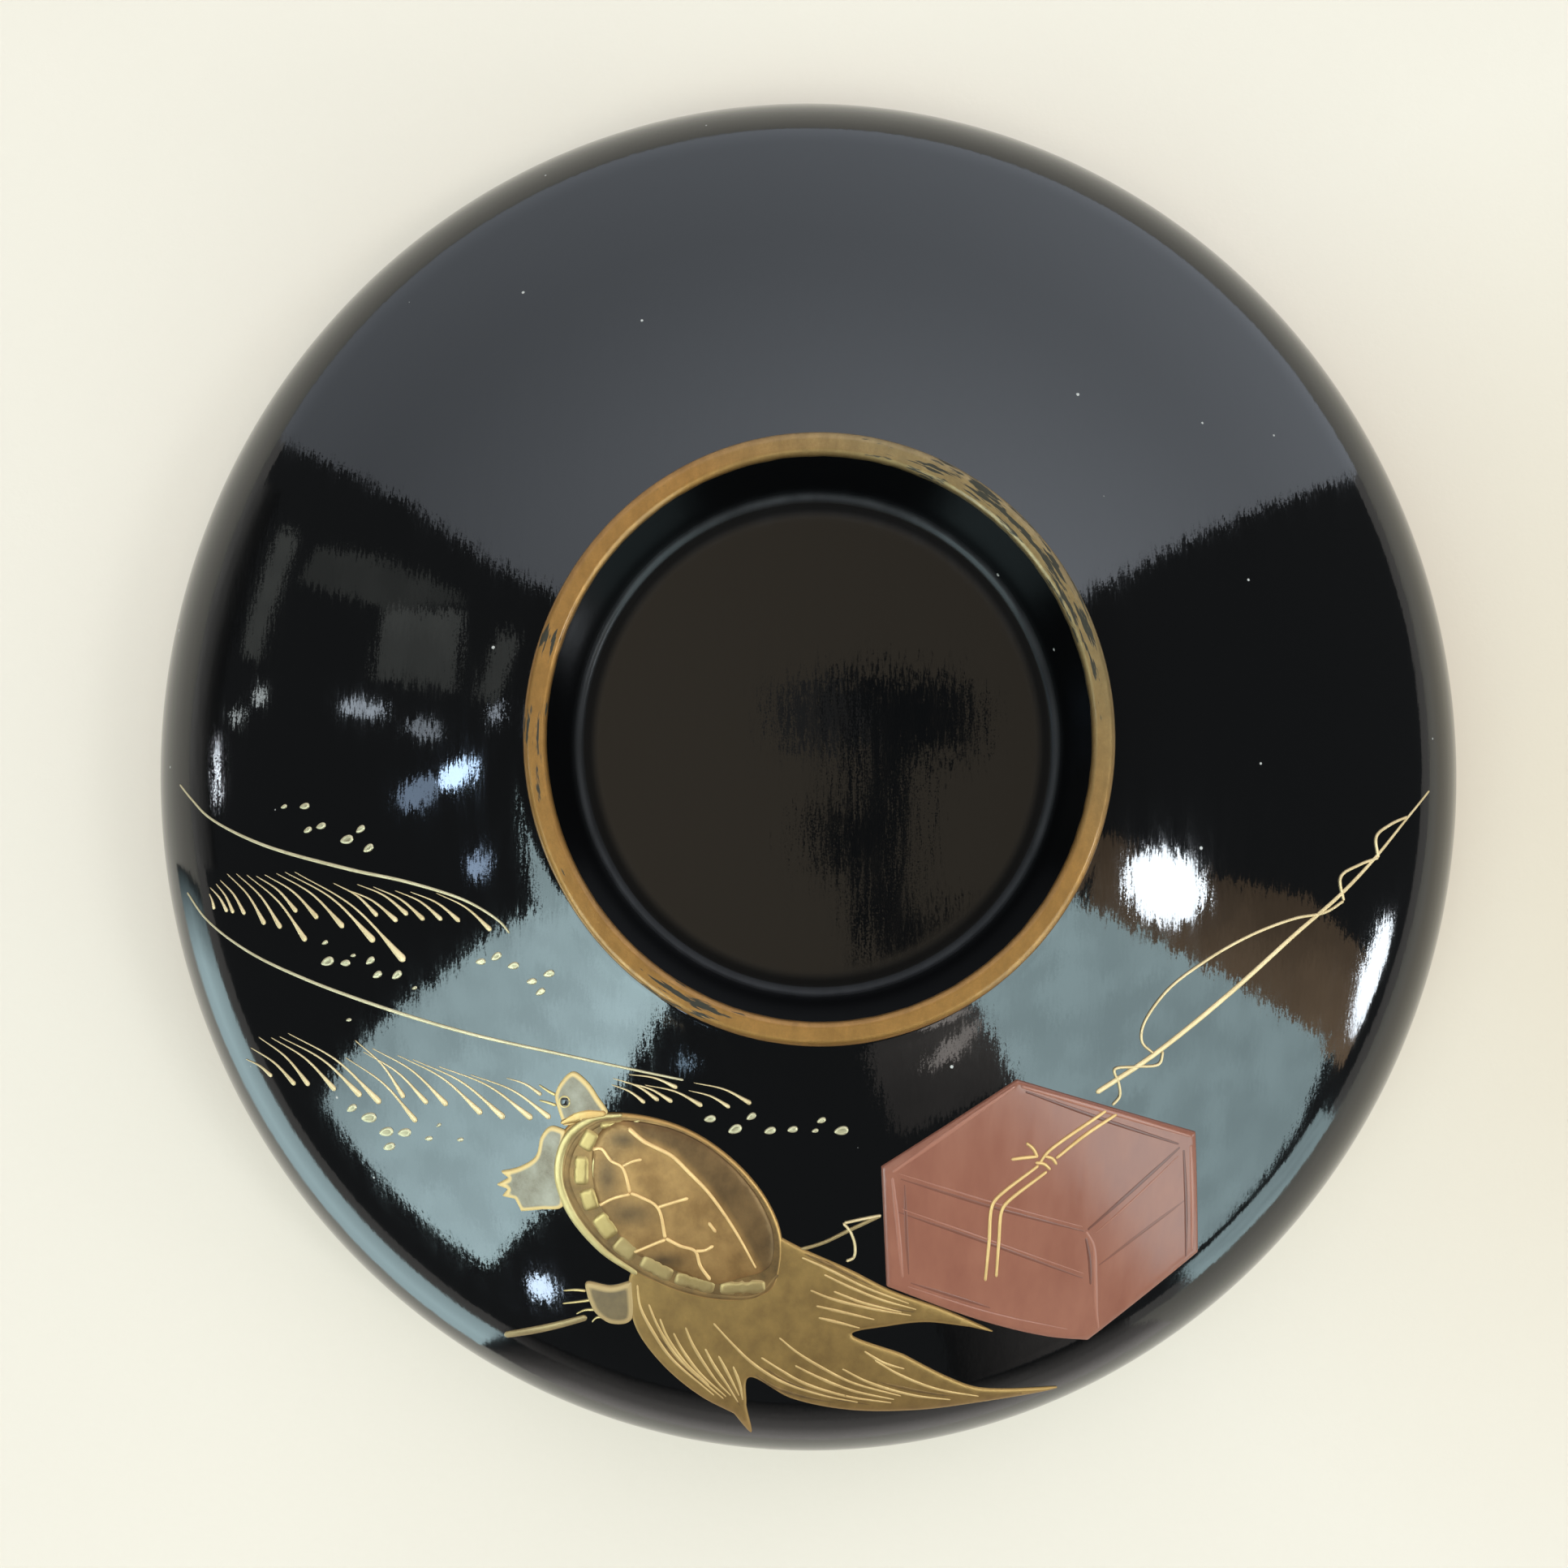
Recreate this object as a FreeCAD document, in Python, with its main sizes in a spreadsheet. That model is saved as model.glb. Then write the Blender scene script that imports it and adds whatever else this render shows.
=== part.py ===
"""A turned wooden lid of a soup bowl, lacquered black and decorated in gold and red.

The lid stands on its rim with its ring upwards. It is modelled as it left the lathe, round, and each
sub-part is then narrowed across the grain, because the wood has shrunk that way: the grain runs along Y.
Last, the rim and the ring's face are lapped flat.
+Z is up, the origin is on the axis at the height of the rim, and the decorated side faces -Y.
Lengths are in millimetres. Outlines are seen from above, as (x, y) on the round lid.
"""

import FreeCAD
import Part
import math
import os

import Sketcher

Vector = FreeCAD.Vector
UP = Vector(0, 0, 1)

DIMENSIONS = {
    "widest_radius": 59.0,
    "widest_height": 7.0,
    "shoulder_radius": 13.0,
    "lower_wall_radius": 22.0,
    "dome_radius": 100.0,
    "shoulder_end_angle": 25.0,
    "ring_height": 32.9,
    "ring_outer_radius": 22.8,
    "ring_foot_radius": 23.0,
    "ring_inner_radius": 21.2,
    "recess_floor_height": 26.8,
    "recess_floor_radius": 19.4,
    "recess_corner": 1.0,
    "ring_edge": 0.45,
    "ring_foot_corner": 0.6,
    "rim_edge": 0.9,
    "hollow_widest_radius": 55.9,
    "hollow_widest_height": 6.5,
    "hollow_shoulder_radius": 11.3,
    "hollow_height": 22.3,
    "outer_coat": 0.35,
    "inner_coat": 0.3,
    "band_gold": 0.15,
    "band_wrap": 0.8,
    "line_relief": 0.12,
    "body_relief": 0.25,
    "shell_relief": 0.7,
    "lapping": 0.05,
    "across_grain": 0.96,
    "prism_foot": 8.0,
    "prism_height": 30.0,
}


# ---------------------------------------------------------------- document and driving dimensions


def make_sheet(doc):
    """The spreadsheet of driving dimensions: a name, and a value with that name as its alias."""
    sheet = doc.addObject("Spreadsheet::Sheet", "Dimensions")
    for row, (name, value) in enumerate(DIMENSIONS.items(), start=1):
        sheet.set(f"A{row}", name)
        sheet.set(f"B{row}", str(value))
        sheet.setAlias(f"B{row}", name)
    doc.recompute()
    return sheet


def dimension(name):
    """A driving dimension as a number, read from the sheet."""
    return float(SHEET.get(name))


DOC = FreeCAD.newDocument("lacquered_lid")
SHEET = make_sheet(DOC)


def bind(thing, **expressions):
    """Binds properties of an object to expressions, in which <name> is an alias of the sheet."""
    for name, expression in expressions.items():
        thing.setExpression(name, expression.replace("<", "Dimensions.").replace(">", ""))
    return thing


def add(kind, name, **properties):
    """A new object of the document with these properties."""
    thing = DOC.addObject(kind, name)
    for key, value in properties.items():
        setattr(thing, key, value)
    return thing


# ---------------------------------------------------------------- turned forms


def origin_plane(body, role):
    """One of a body's own origin planes."""
    return next(f for f in body.Origin.OriginFeatures if f.Role == role)


def profile_sketch(body, name):
    """An empty sketch on the body's XZ plane: its x is the radius and its y is the height."""
    sketch = body.newObject("Sketcher::SketchObject", name)
    sketch.AttachmentSupport = [(origin_plane(body, "XZ_Plane"), "")]
    sketch.MapMode = "FlatFace"
    return sketch


def fix(sketch, name, kind, *where):
    """A dimensional constraint bound to the sheet alias of the same name as the constraint."""
    index = sketch.addConstraint(Sketcher.Constraint(kind, *where, dimension(name)))
    sketch.renameConstraint(index, name)
    sketch.setExpression(f"Constraints.{name}", f"Dimensions.{name}")


def on_circle(centre, radius, degrees):
    """The point of a circle at that angle from vertical, turning outwards."""
    angle = math.radians(degrees)
    return Vector(centre.x + radius * math.sin(angle), centre.y + radius * math.cos(angle), 0)


def arc(centre, radius, start, end):
    """An arc of the profile between two points, counter-clockwise."""
    circle = Part.Circle(centre, UP, radius)
    return Part.ArcOfCircle(circle, circle.parameter(start), circle.parameter(end))


def line(start, end):
    return Part.LineSegment(start, end)


def join_ends(sketch, pairs):
    for first, first_end, second, second_end in pairs:
        sketch.addConstraint(Sketcher.Constraint("Coincident", first, first_end, second, second_end))


def revolve(body, sketch):
    """Turns the profile about the vertical axis of its sketch."""
    turned = body.newObject("PartDesign::Revolution", body.Name + "_turned")
    turned.Profile = sketch
    turned.ReferenceAxis = (sketch, ["V_Axis"])
    turned.Angle = 360
    DOC.recompute()
    return turned


def edges_at(feature, radius, height):
    """Names of the round edges of a turned shape at that radius and height."""
    found = []
    for number, edge in enumerate(feature.Shape.Edges, start=1):
        curve = edge.Curve
        if isinstance(curve, Part.Circle) and abs(curve.Radius - radius) < 0.05:
            if abs(curve.Center.z - height) < 0.05 and abs(curve.Axis.z) > 0.99:
                found.append(f"Edge{number}")
    return found


def soften(body, base, name, radius, height, alias):
    """Fillets the round edge at that radius and height."""
    fillet = body.newObject("PartDesign::Fillet", name)
    fillet.Base = (base, edges_at(base, radius, height))
    fillet.Radius = dimension(alias)
    bind(fillet, Radius=f"<{alias}>")
    DOC.recompute()
    return fillet


def make_outer_form():
    """The outside of the lacquer, as a solid. The rim and the ring's face are still to be lapped flat."""
    widest, waist = dimension("widest_radius"), dimension("widest_height")
    shoulder, dome = dimension("shoulder_radius"), dimension("dome_radius")
    lower, split = dimension("lower_wall_radius"), dimension("shoulder_end_angle")
    top, floor, base = dimension("ring_height"), dimension("recess_floor_height"), -dimension("lapping")
    shoulder_centre = Vector(widest - shoulder, waist, 0)
    joint = on_circle(shoulder_centre, shoulder, split)
    dome_centre = on_circle(joint, dome, split + 180)
    lower_centre = Vector(widest - lower, waist, 0)
    rim = Vector(lower_centre.x + math.sqrt(lower**2 - (waist - base) ** 2), base, 0)
    foot_radius = dimension("ring_foot_radius")
    foot = Vector(foot_radius, dome_centre.y + math.sqrt(dome**2 - (foot_radius - dome_centre.x) ** 2), 0)
    waist_point = Vector(widest, waist, 0)
    ring_out = Vector(dimension("ring_outer_radius"), top, 0)
    ring_in = Vector(dimension("ring_inner_radius"), top, 0)
    recess = Vector(dimension("recess_floor_radius"), floor, 0)

    body = add("PartDesign::Body", "outer_form")
    sketch = profile_sketch(body, "outer_profile")
    bottom, wall, bend, crown, outside, face, inside, bed, axis = sketch.addGeometry([
        line(Vector(0, base, 0), rim),
        arc(lower_centre, lower, rim, waist_point),
        arc(shoulder_centre, shoulder, waist_point, joint),
        arc(dome_centre, dome, joint, foot),
        line(foot, ring_out),
        line(ring_out, ring_in),
        line(ring_in, recess),
        line(recess, Vector(0, floor, 0)),
        line(Vector(0, floor, 0), Vector(0, base, 0)),
    ])
    join_ends(sketch, [
        (bottom, 2, wall, 1), (crown, 2, outside, 1), (outside, 2, face, 1), (face, 2, inside, 1),
        (inside, 2, bed, 1), (bed, 2, axis, 1), (axis, 2, bottom, 1),
    ])
    for first, second in ((wall, bend), (bend, crown)):
        sketch.addConstraint(Sketcher.Constraint("Tangent", first, 2, second, 1))
    for level in (bottom, face, bed):
        sketch.addConstraint(Sketcher.Constraint("Horizontal", level))
    sketch.addConstraint(Sketcher.Constraint("Vertical", axis))
    sketch.addConstraint(Sketcher.Constraint("Horizontal", wall, 3, wall, 2))
    sketch.addConstraint(Sketcher.Constraint("PointOnObject", bottom, 1, -2))
    fix(sketch, "lapping", "DistanceY", bottom, 1, -1, 1)
    fix(sketch, "widest_radius", "DistanceX", -1, 1, bend, 1)
    fix(sketch, "widest_height", "DistanceY", -1, 1, bend, 1)
    fix(sketch, "shoulder_radius", "Radius", bend)
    fix(sketch, "lower_wall_radius", "Radius", wall)
    fix(sketch, "dome_radius", "Radius", crown)
    fix(sketch, "ring_height", "DistanceY", -1, 1, face, 1)
    fix(sketch, "ring_outer_radius", "DistanceX", -1, 1, face, 1)
    fix(sketch, "ring_inner_radius", "DistanceX", -1, 1, face, 2)
    fix(sketch, "ring_foot_radius", "DistanceX", -1, 1, outside, 1)
    fix(sketch, "recess_floor_height", "DistanceY", -1, 1, bed, 1)
    fix(sketch, "recess_floor_radius", "DistanceX", -1, 1, bed, 1)
    shoulder_end = sketch.addConstraint(
        Sketcher.Constraint("DistanceX", -1, 1, bend, 2, joint.x))
    sketch.renameConstraint(shoulder_end, "shoulder_end")
    bind(sketch, **{"Constraints.shoulder_end":
                    "<widest_radius> - <shoulder_radius> * (1 - sin(<shoulder_end_angle> * 1deg))"})
    shape = revolve(body, sketch)
    shape = soften(body, shape, "recess_fillet", recess.x, floor, "recess_corner")
    shape = soften(body, shape, "ring_inner_fillet", ring_in.x, top, "ring_edge")
    shape = soften(body, shape, "ring_outer_fillet", ring_out.x, top, "ring_edge")
    shape = soften(body, shape, "ring_foot_fillet", foot.x, foot.y, "ring_foot_corner")
    soften(body, shape, "rim_fillet", rim.x, rim.y, "rim_edge")
    return body


def make_hollow_form():
    """The hollow inside the finished lacquer, drawn on below the rim so that it cuts right through."""
    widest, waist = dimension("hollow_widest_radius"), dimension("hollow_widest_height")
    shoulder, apex = dimension("hollow_shoulder_radius"), dimension("hollow_height")
    offset = widest - shoulder
    rise, reach = apex - waist, apex - shoulder - waist
    ceiling_radius = (offset**2 + rise**2 - shoulder**2) / (2 * reach)
    ceiling_centre = Vector(0, apex - ceiling_radius, 0)
    shoulder_centre = Vector(offset, waist, 0)
    direction = (shoulder_centre - ceiling_centre).normalize()
    joint = ceiling_centre + direction * ceiling_radius
    waist_point = Vector(widest, waist, 0)
    drop = Vector(widest, -waist, 0)
    foot = Vector(0, -waist, 0)

    body = add("PartDesign::Body", "hollow_form")
    sketch = profile_sketch(body, "hollow_profile")
    bottom, wall, bend, ceiling, axis = sketch.addGeometry([
        line(foot, drop),
        line(drop, waist_point),
        arc(shoulder_centre, shoulder, waist_point, joint),
        arc(ceiling_centre, ceiling_radius, joint, Vector(0, apex, 0)),
        line(Vector(0, apex, 0), foot),
    ])
    join_ends(sketch, [(bottom, 2, wall, 1), (ceiling, 2, axis, 1), (axis, 2, bottom, 1)])
    for first, second in ((wall, bend), (bend, ceiling)):
        sketch.addConstraint(Sketcher.Constraint("Tangent", first, 2, second, 1))
    sketch.addConstraint(Sketcher.Constraint("Horizontal", bottom))
    sketch.addConstraint(Sketcher.Constraint("Vertical", wall))
    for centred in ((ceiling, 3), (ceiling, 2), (bottom, 1)):
        sketch.addConstraint(Sketcher.Constraint("PointOnObject", *centred, -2))
    fix(sketch, "hollow_widest_radius", "DistanceX", -1, 1, bend, 1)
    fix(sketch, "hollow_widest_height", "DistanceY", -1, 1, bend, 1)
    fix(sketch, "hollow_shoulder_radius", "Radius", bend)
    fix(sketch, "hollow_height", "DistanceY", -1, 1, ceiling, 2)
    foot_depth = sketch.addConstraint(Sketcher.Constraint("DistanceY", bottom, 1, -1, 1, waist))
    sketch.renameConstraint(foot_depth, "foot_depth")
    bind(sketch, **{"Constraints.foot_depth": "<hollow_widest_height>"})
    revolve(body, sketch)
    return body


def grown(source, name, expression):
    """The same form with its skin moved outwards by that much, or inwards if it is negative."""
    form = add("Part::Offset", name, Source=source, Mode="Skin", Join="Arc", Fill=False)
    bind(form, Value=expression)
    DOC.recompute()
    return form


def cut(base, tool, name):
    return add("Part::Cut", name, Base=base, Tool=tool)


def common(first, second, name):
    return add("Part::Common", name, Base=first, Tool=second)


# ---------------------------------------------------------------- outlines of the decoration


def spline(points):
    """A smooth edge through the points, or a straight one through two."""
    corners = [Vector(x, y, 0) for x, y in points]
    if len(corners) == 2:
        return line(*corners)
    curve = Part.BSplineCurve()
    curve.interpolate(corners)
    return curve


def closed_spline(points):
    """A smooth closed outline through the points."""
    curve = Part.BSplineCurve()
    curve.interpolate([Vector(x, y, 0) for x, y in points], PeriodicFlag=True)
    return [curve]


def outline(*runs):
    """A closed outline of smooth runs that meet at corners. Each run starts where the last one ended."""
    starts = [run[0] for run in runs[1:]] + [runs[0][0]]
    return [spline([*run, start]) for run, start in zip(runs, starts)]


def stroke(points, widths):
    """A brush stroke along the points: pointed where it starts and round where it ends."""
    middle = spline(points)
    first, last = middle.FirstParameter, middle.LastParameter
    sides = {1: [], -1: []}
    for step, width in enumerate(widths, start=1):
        place = first + (last - first) * step / len(widths)
        along = Vector(*middle.tangent(place)[0])
        across = Vector(-along.y, along.x, 0)
        for side, made in sides.items():
            made.append(middle.value(place) + across * (side * width / 2))
    tip = middle.value(last) + along * (widths[-1] / 2)
    start = Vector(*points[0], 0)
    left, right = [start, *sides[1]], [start, *sides[-1]]
    return [
        spline([(p.x, p.y) for p in left]),
        Part.Arc(left[-1], tip, right[-1]),
        spline([(p.x, p.y) for p in reversed(right)]),
    ]


def drop(x, y, length, slope=-12):
    """A fleck of foam: a small ellipse with its length along the slope, in degrees."""
    angle = math.radians(slope)
    along = Vector(math.cos(angle), math.sin(angle), 0)
    across = Vector(-along.y, along.x, 0)
    centre = Vector(x, y, 0)
    return [Part.Ellipse(centre + along * (length / 2), centre + across * (length * 0.3), centre)]


TURTLE_SHELL = [
    (-16.8, -29.6), (-13.6, -30.0), (-9.6, -31.0), (-6.3, -33.4), (-4.0, -37.0), (-3.9, -40.6),
    (-7.6, -42.4), (-12.2, -40.8), (-16.6, -37.6), (-18.9, -33.6), (-18.6, -30.8),
]
TURTLE_MARGIN = [
    (-16.6, -28.5), (-12.8, -29.0), (-8.3, -30.6), (-4.7, -34.0), (-2.8, -38.4), (-3.4, -42.1),
    (-7.0, -43.6), (-12.4, -42.8), (-17.4, -39.6), (-20.4, -34.9), (-19.9, -30.2),
]
TURTLE_HEAD = outline(
    [(-20.6, -29.5), (-20.9, -28.0), (-21.1, -27.1), (-20.4, -25.8), (-19.5, -25.3), (-18.2, -26.3)],
    [(-16.9, -28.4)],
)
TURTLE_FRONT_LEG = outline(
    [(-20.2, -29.9), (-21.5, -29.7), (-22.4, -30.8), (-22.8, -32.1), (-24.2, -32.9)],
    [(-25.8, -33.3)], [(-25.1, -33.8)], [(-26.2, -34.4)], [(-25.2, -34.7)], [(-25.7, -35.3)],
    [(-24.6, -35.5)], [(-24.0, -36.6), (-22.4, -36.3), (-20.6, -36.0)],
)
TURTLE_HIND_LEG = outline(
    [(-15.0, -41.8), (-16.8, -42.4), (-18.9, -42.2)],
    [(-18.8, -43.4), (-18.2, -44.7), (-16.8, -45.5), (-15.2, -45.3)],
)
TURTLE_CLAWS = [
    [(-20.9, -43.1), (-19.1, -42.9)],
    [(-21.0, -44.2), (-18.9, -43.8)],
    [(-19.7, -44.95), (-18.4, -44.5)],
]
TURTLE_TAIL = outline(
    [(-4.0, -37.6), (-1.4, -39.0), (5.5, -42.2), (10.5, -44.3), (14.8, -46.4)],
    [(10.8, -45.6), (6.6, -45.5), (3.0, -46.3)],
    [(7.7, -48.5), (12.4, -50.8), (20.8, -52.0)],
    [(13.9, -52.9), (5.5, -53.2), (0.0, -52.6), (-5.5, -50.1)],
    [(-5.4, -52.4), (-5.4, -55.2)],
    [(-8.9, -52.1), (-12.9, -48.8), (-15.2, -45.4), (-15.0, -41.0)],
    [(-9.0, -38.0)],
)
TURTLE_TAIL_HAIRS = [
    [(-14.2, -43.6), (-12.4, -47.4), (-8.2, -51.0)],
    [(-12.9, -44.6), (-11.4, -47.6), (-7.6, -51.4)],
    [(-10.8, -45.6), (-9.8, -48.0), (-6.9, -51.6)],
    [(-8.4, -45.3), (-4.9, -49.0), (1.0, -51.6)],
    [(-4.4, -48.2), (0.4, -50.6), (6.2, -51.8)],
    [(-3.0, -46.4), (1.6, -49.2), (8.6, -51.4)],
    [(1.8, -47.4), (6.0, -50.0), (12.6, -51.8)],
    [(-0.4, -42.4), (3.4, -44.0), (8.4, -44.9)],
    [(0.2, -40.9), (4.4, -42.8), (9.4, -44.6)],
]
SHELL_SEAMS = [
    [(-15.2, -29.9), (-12.0, -31.4), (-9.2, -34.0), (-6.4, -37.4), (-4.9, -40.4)],
    [(-17.6, -31.1), (-15.6, -32.4), (-15.0, -34.6), (-12.7, -35.7)],
    [(-12.7, -35.7), (-12.2, -38.1), (-9.9, -39.3), (-8.5, -41.9)],
    [(-15.0, -34.6), (-17.6, -35.7)],
    [(-12.7, -35.7), (-10.4, -34.9)],
    [(-12.2, -38.1), (-14.8, -39.3)],
    [(-9.9, -39.3), (-8.2, -38.8)],
]
RED_BOX = outline(
    [(16.0, -25.9)], [(31.3, -30.4)], [(32.2, -40.4)],
    [(22.9, -47.5), (19.4, -47.0), (14.0, -45.4)], [(5.7, -42.4)], [(5.1, -32.6)],
)
BOX_RIDGES = [
    [(6.4, -33.2), (14.2, -35.9), (21.9, -38.0)],
    [(22.3, -38.0), (30.1, -31.3)],
    [(22.2, -38.5), (22.8, -42.0), (23.6, -46.4)],
    [(6.2, -34.0), (6.9, -41.3)],
    [(30.3, -31.7), (31.2, -40.2)],
    [(17.2, -26.9), (29.6, -31.0)],
]
BOX_CORD = [
    [(23.5, -28.6), (18.6, -31.9), (14.3, -35.4), (14.0, -38.6), (13.8, -42.0)],
    [(24.2, -28.9), (19.5, -32.2), (15.1, -35.9), (14.8, -38.7), (14.6, -41.8)],
    [(15.5, -32.2), (17.4, -32.1), (19.5, -32.8)],
    [(16.8, -30.9), (17.9, -32.4), (19.0, -33.2)],
]
FISHING_ROD = [
    [(53.2, -3.1), (47.8, -8.2), (42.4, -12.9), (34.0, -19.6), (27.4, -24.2), (22.6, -27.1)],
    [(6.0, -36.3), (2.6, -37.7), (-1.8, -39.4)],
    [(-18.9, -45.2), (-21.8, -46.2), (-26.1, -47.2)],
]
FISHING_LINE = [
    [(50.7, -5.3), (48.9, -6.0), (47.5, -7.1), (47.7, -8.7)],
    [(47.7, -8.7), (45.6, -9.4), (43.9, -10.5), (44.4, -12.2)],
    [(44.4, -12.2), (42.4, -13.1), (35.7, -14.9), (28.6, -19.0), (26.4, -22.2), (27.4, -24.2)],
    [(28.2, -23.9), (27.8, -25.0), (24.2, -25.2), (24.7, -27.0), (24.0, -28.2)],
    [(5.2, -36.5), (3.6, -36.8), (2.2, -37.1)],
    [(2.1, -37.1), (2.7, -37.9), (3.1, -39.2), (2.4, -40.2)],
]
WAVE_CRESTS = [
    [(-54.5, -2.7), (-52.2, -4.9), (-47.0, -7.3), (-40.0, -9.3), (-33.0, -10.8), (-27.3, -12.6),
     (-24.7, -14.7)],
    [(-10.7, -25.9), (-18.0, -24.3), (-25.4, -22.8), (-34.3, -20.9), (-42.4, -18.5), (-49.7, -15.1),
     (-53.8, -11.5)],
]
WAVE_SPRAY = [
    ((-51.2, -11.0), (-49.8, -13.1)), ((-50.6, -10.5), (-48.0, -13.2)), ((-50.0, -9.9), (-46.2, -14.0)),
    ((-48.8, -10.0), (-44.6, -14.5)), ((-46.9, -10.2), (-42.4, -15.3)), ((-45.7, -10.2), (-41.1, -13.5)),
    ((-44.4, -10.2), (-38.9, -14.2)), ((-43.0, -10.0), (-36.1, -15.3)), ((-41.2, -10.6), (-33.6, -16.8)),
    ((-38.8, -11.0), (-34.6, -13.7)), ((-37.4, -11.0), (-33.4, -13.2)), ((-36.0, -11.1), (-31.8, -13.6)),
    ((-34.2, -11.3), (-30.4, -13.7)), ((-32.8, -11.5), (-28.9, -13.8)), ((-31.0, -11.8), (-26.3, -14.4)),
    ((-48.0, -24.4), (-45.8, -26.4)), ((-47.0, -23.8), (-43.7, -26.9)), ((-46.6, -23.2), (-42.4, -26.9)),
    ((-44.9, -23.1), (-40.0, -27.2)), ((-43.4, -22.7), (-36.2, -28.1)), ((-39.8, -24.0), (-33.2, -29.3)),
    ((-38.0, -23.6), (-31.9, -28.0)), ((-36.4, -23.7), (-30.2, -28.1)), ((-34.8, -23.9), (-27.3, -28.7)),
    ((-32.8, -24.3), (-25.4, -29.0)), ((-31.0, -24.9), (-23.2, -29.0)), ((-15.9, -26.2), (-13.9, -27.6)),
    ((-14.8, -26.1), (-11.8, -27.5)), ((-12.3, -26.6), (-9.3, -27.9)), ((-10.3, -26.7), (-7.0, -28.0)),
    ((-9.5, -26.1), (-5.4, -27.6)),
]
FOAM_DROPS = [
    (-42.3, -4.8, 1.0), (-40.9, -6.3, 0.9), (-38.5, -7.4, 1.2), (-37.3, -6.5, 0.9), (-36.6, -8.1, 1.0),
    (-44.3, -4.7, 0.7), (-42.0, -6.6, 0.8),
    (-40.4, -17.0, 1.2), (-38.8, -17.1, 0.7), (-36.6, -17.0, 0.9), (-35.9, -18.1, 0.9),
    (-34.3, -18.0, 1.0), (-27.1, -16.9, 0.9), (-25.8, -16.5, 1.1), (-24.4, -17.2, 0.9),
    (-22.9, -18.5, 0.9), (-21.5, -17.7, 0.9),
    (-38.6, -28.7, 0.9), (-37.1, -29.4, 1.4), (-35.6, -30.5, 1.3), (-33.9, -30.4, 1.2),
    (-35.3, -31.7, 1.1), (-31.8, -30.9, 0.7), (-8.5, -28.9, 1.0), (-6.6, -29.7, 1.1),
    (-5.3, -28.7, 0.9), (-3.9, -29.8, 1.0), (-2.0, -29.7, 0.8), (0.3, -28.9, 0.8), (2.1, -29.8, 1.0),
]


def spray_stroke(start, end):
    """A fine line of spray that bows upwards and swells towards its end."""
    (x0, y0), (x1, y1) = start, end
    middle = (x0 * 0.45 + x1 * 0.55 + 0.3, y0 * 0.45 + y1 * 0.55 + 0.25)
    return stroke([start, middle, end], [0.14, 0.16, 0.2, 0.42])


# ---------------------------------------------------------------- sub-parts


def prism(name, edges):
    """A tall prism on a plan outline."""
    sketch = add("Sketcher::SketchObject", name + "_outline")
    sketch.addGeometry(edges)
    bind(sketch, **{"Placement.Base.z": "<prism_foot>"})
    block = add("Part::Extrusion", name + "_prism", Base=sketch, DirMode="Custom", Dir=UP, Solid=True,
                FaceMakerClass="Part::FaceMakerBullseye")
    bind(block, LengthFwd="<prism_height>")
    return block


def fused(name, pieces):
    return pieces[0] if len(pieces) == 1 else add("Part::MultiFuse", name, Shapes=pieces)


def strokes_prism(name, lines, widths):
    """Prisms on brush strokes that may cross, fused together."""
    blocks = [prism(f"{name}_{n}", stroke(points, widths)) for n, points in enumerate(lines)]
    return fused(name + "_strokes", blocks)


def seasoned(source, label):
    """The finished sub-part: the turned one, narrowed across the grain."""
    part = add("Part::Scale", label, Base=source, Uniform=False, YScale=1, ZScale=1)
    bind(part, XScale="<across_grain>")
    part.Label = label
    return part


def trimmed(part, label, low, high):
    """The part between two levels, with true planes for its end faces."""
    room = add("Part::Box", label + "_room", Length=160, Width=160)
    bind(room, Height=f"({high}) - ({low})")
    bind(room, **{"Placement.Base.x": "-80", "Placement.Base.y": "-80", "Placement.Base.z": low})
    part.Label = label + "_blank"
    return add("Part::Common", label, Base=part, Tool=room)


def slab(name, low, high):
    """A wide disc between two levels, for dividing a coat."""
    disc = add("Part::Cylinder", name, Radius=80)
    bind(disc, Height=f"({high}) - ({low})", **{"Placement.Base.z": low})
    return disc


def make_wood_and_lacquer(outer, hollow):
    """The wooden core and the coats that wrap it: outside, inside and round the rim."""
    core_outer = grown(outer, "core_outside", "-<outer_coat>")
    core_hollow = grown(hollow, "core_hollow", "<inner_coat>")
    core = cut(core_outer, core_hollow, "core_turned")
    rim_top = "<outer_coat> - <lapping>"
    rim_slab = slab("rim_slab", "-<lapping>", rim_top)
    outside = cut(cut(outer, core_outer, "outer_coat_whole"), rim_slab, "outer_coat_turned")
    inside = cut(cut(core_hollow, hollow, "inner_coat_whole"),
                 slab("below_rim", "-2 * <hollow_widest_height>", rim_top), "inner_coat_turned")
    lid = cut(outer, hollow, "lid_whole")
    rim = common(lid, rim_slab, "rim_coat_turned")
    return [
        seasoned(core, "wooden_core"),
        seasoned(outside, "outer_lacquer"),
        seasoned(inside, "inner_lacquer"),
        trimmed(seasoned(rim, "rim_coat_scaled"), "rim_lacquer", "0", rim_top),
    ]


def make_gold_band(outer):
    """The gold on the ring's face, wrapped a little way down both sides."""
    gilded = grown(outer, "ring_gilded", "<band_gold>")
    skin = cut(gilded, outer, "ring_skin")
    level = "<ring_height> - <band_wrap>"
    band = common(skin, slab("band_slab", level, "<ring_height> + 2 * <band_gold>"), "band_turned")
    lapped = "<ring_height> + <band_gold> - <lapping>"
    return trimmed(seasoned(band, "band_scaled"), "ring_gold_band", level, lapped)


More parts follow.
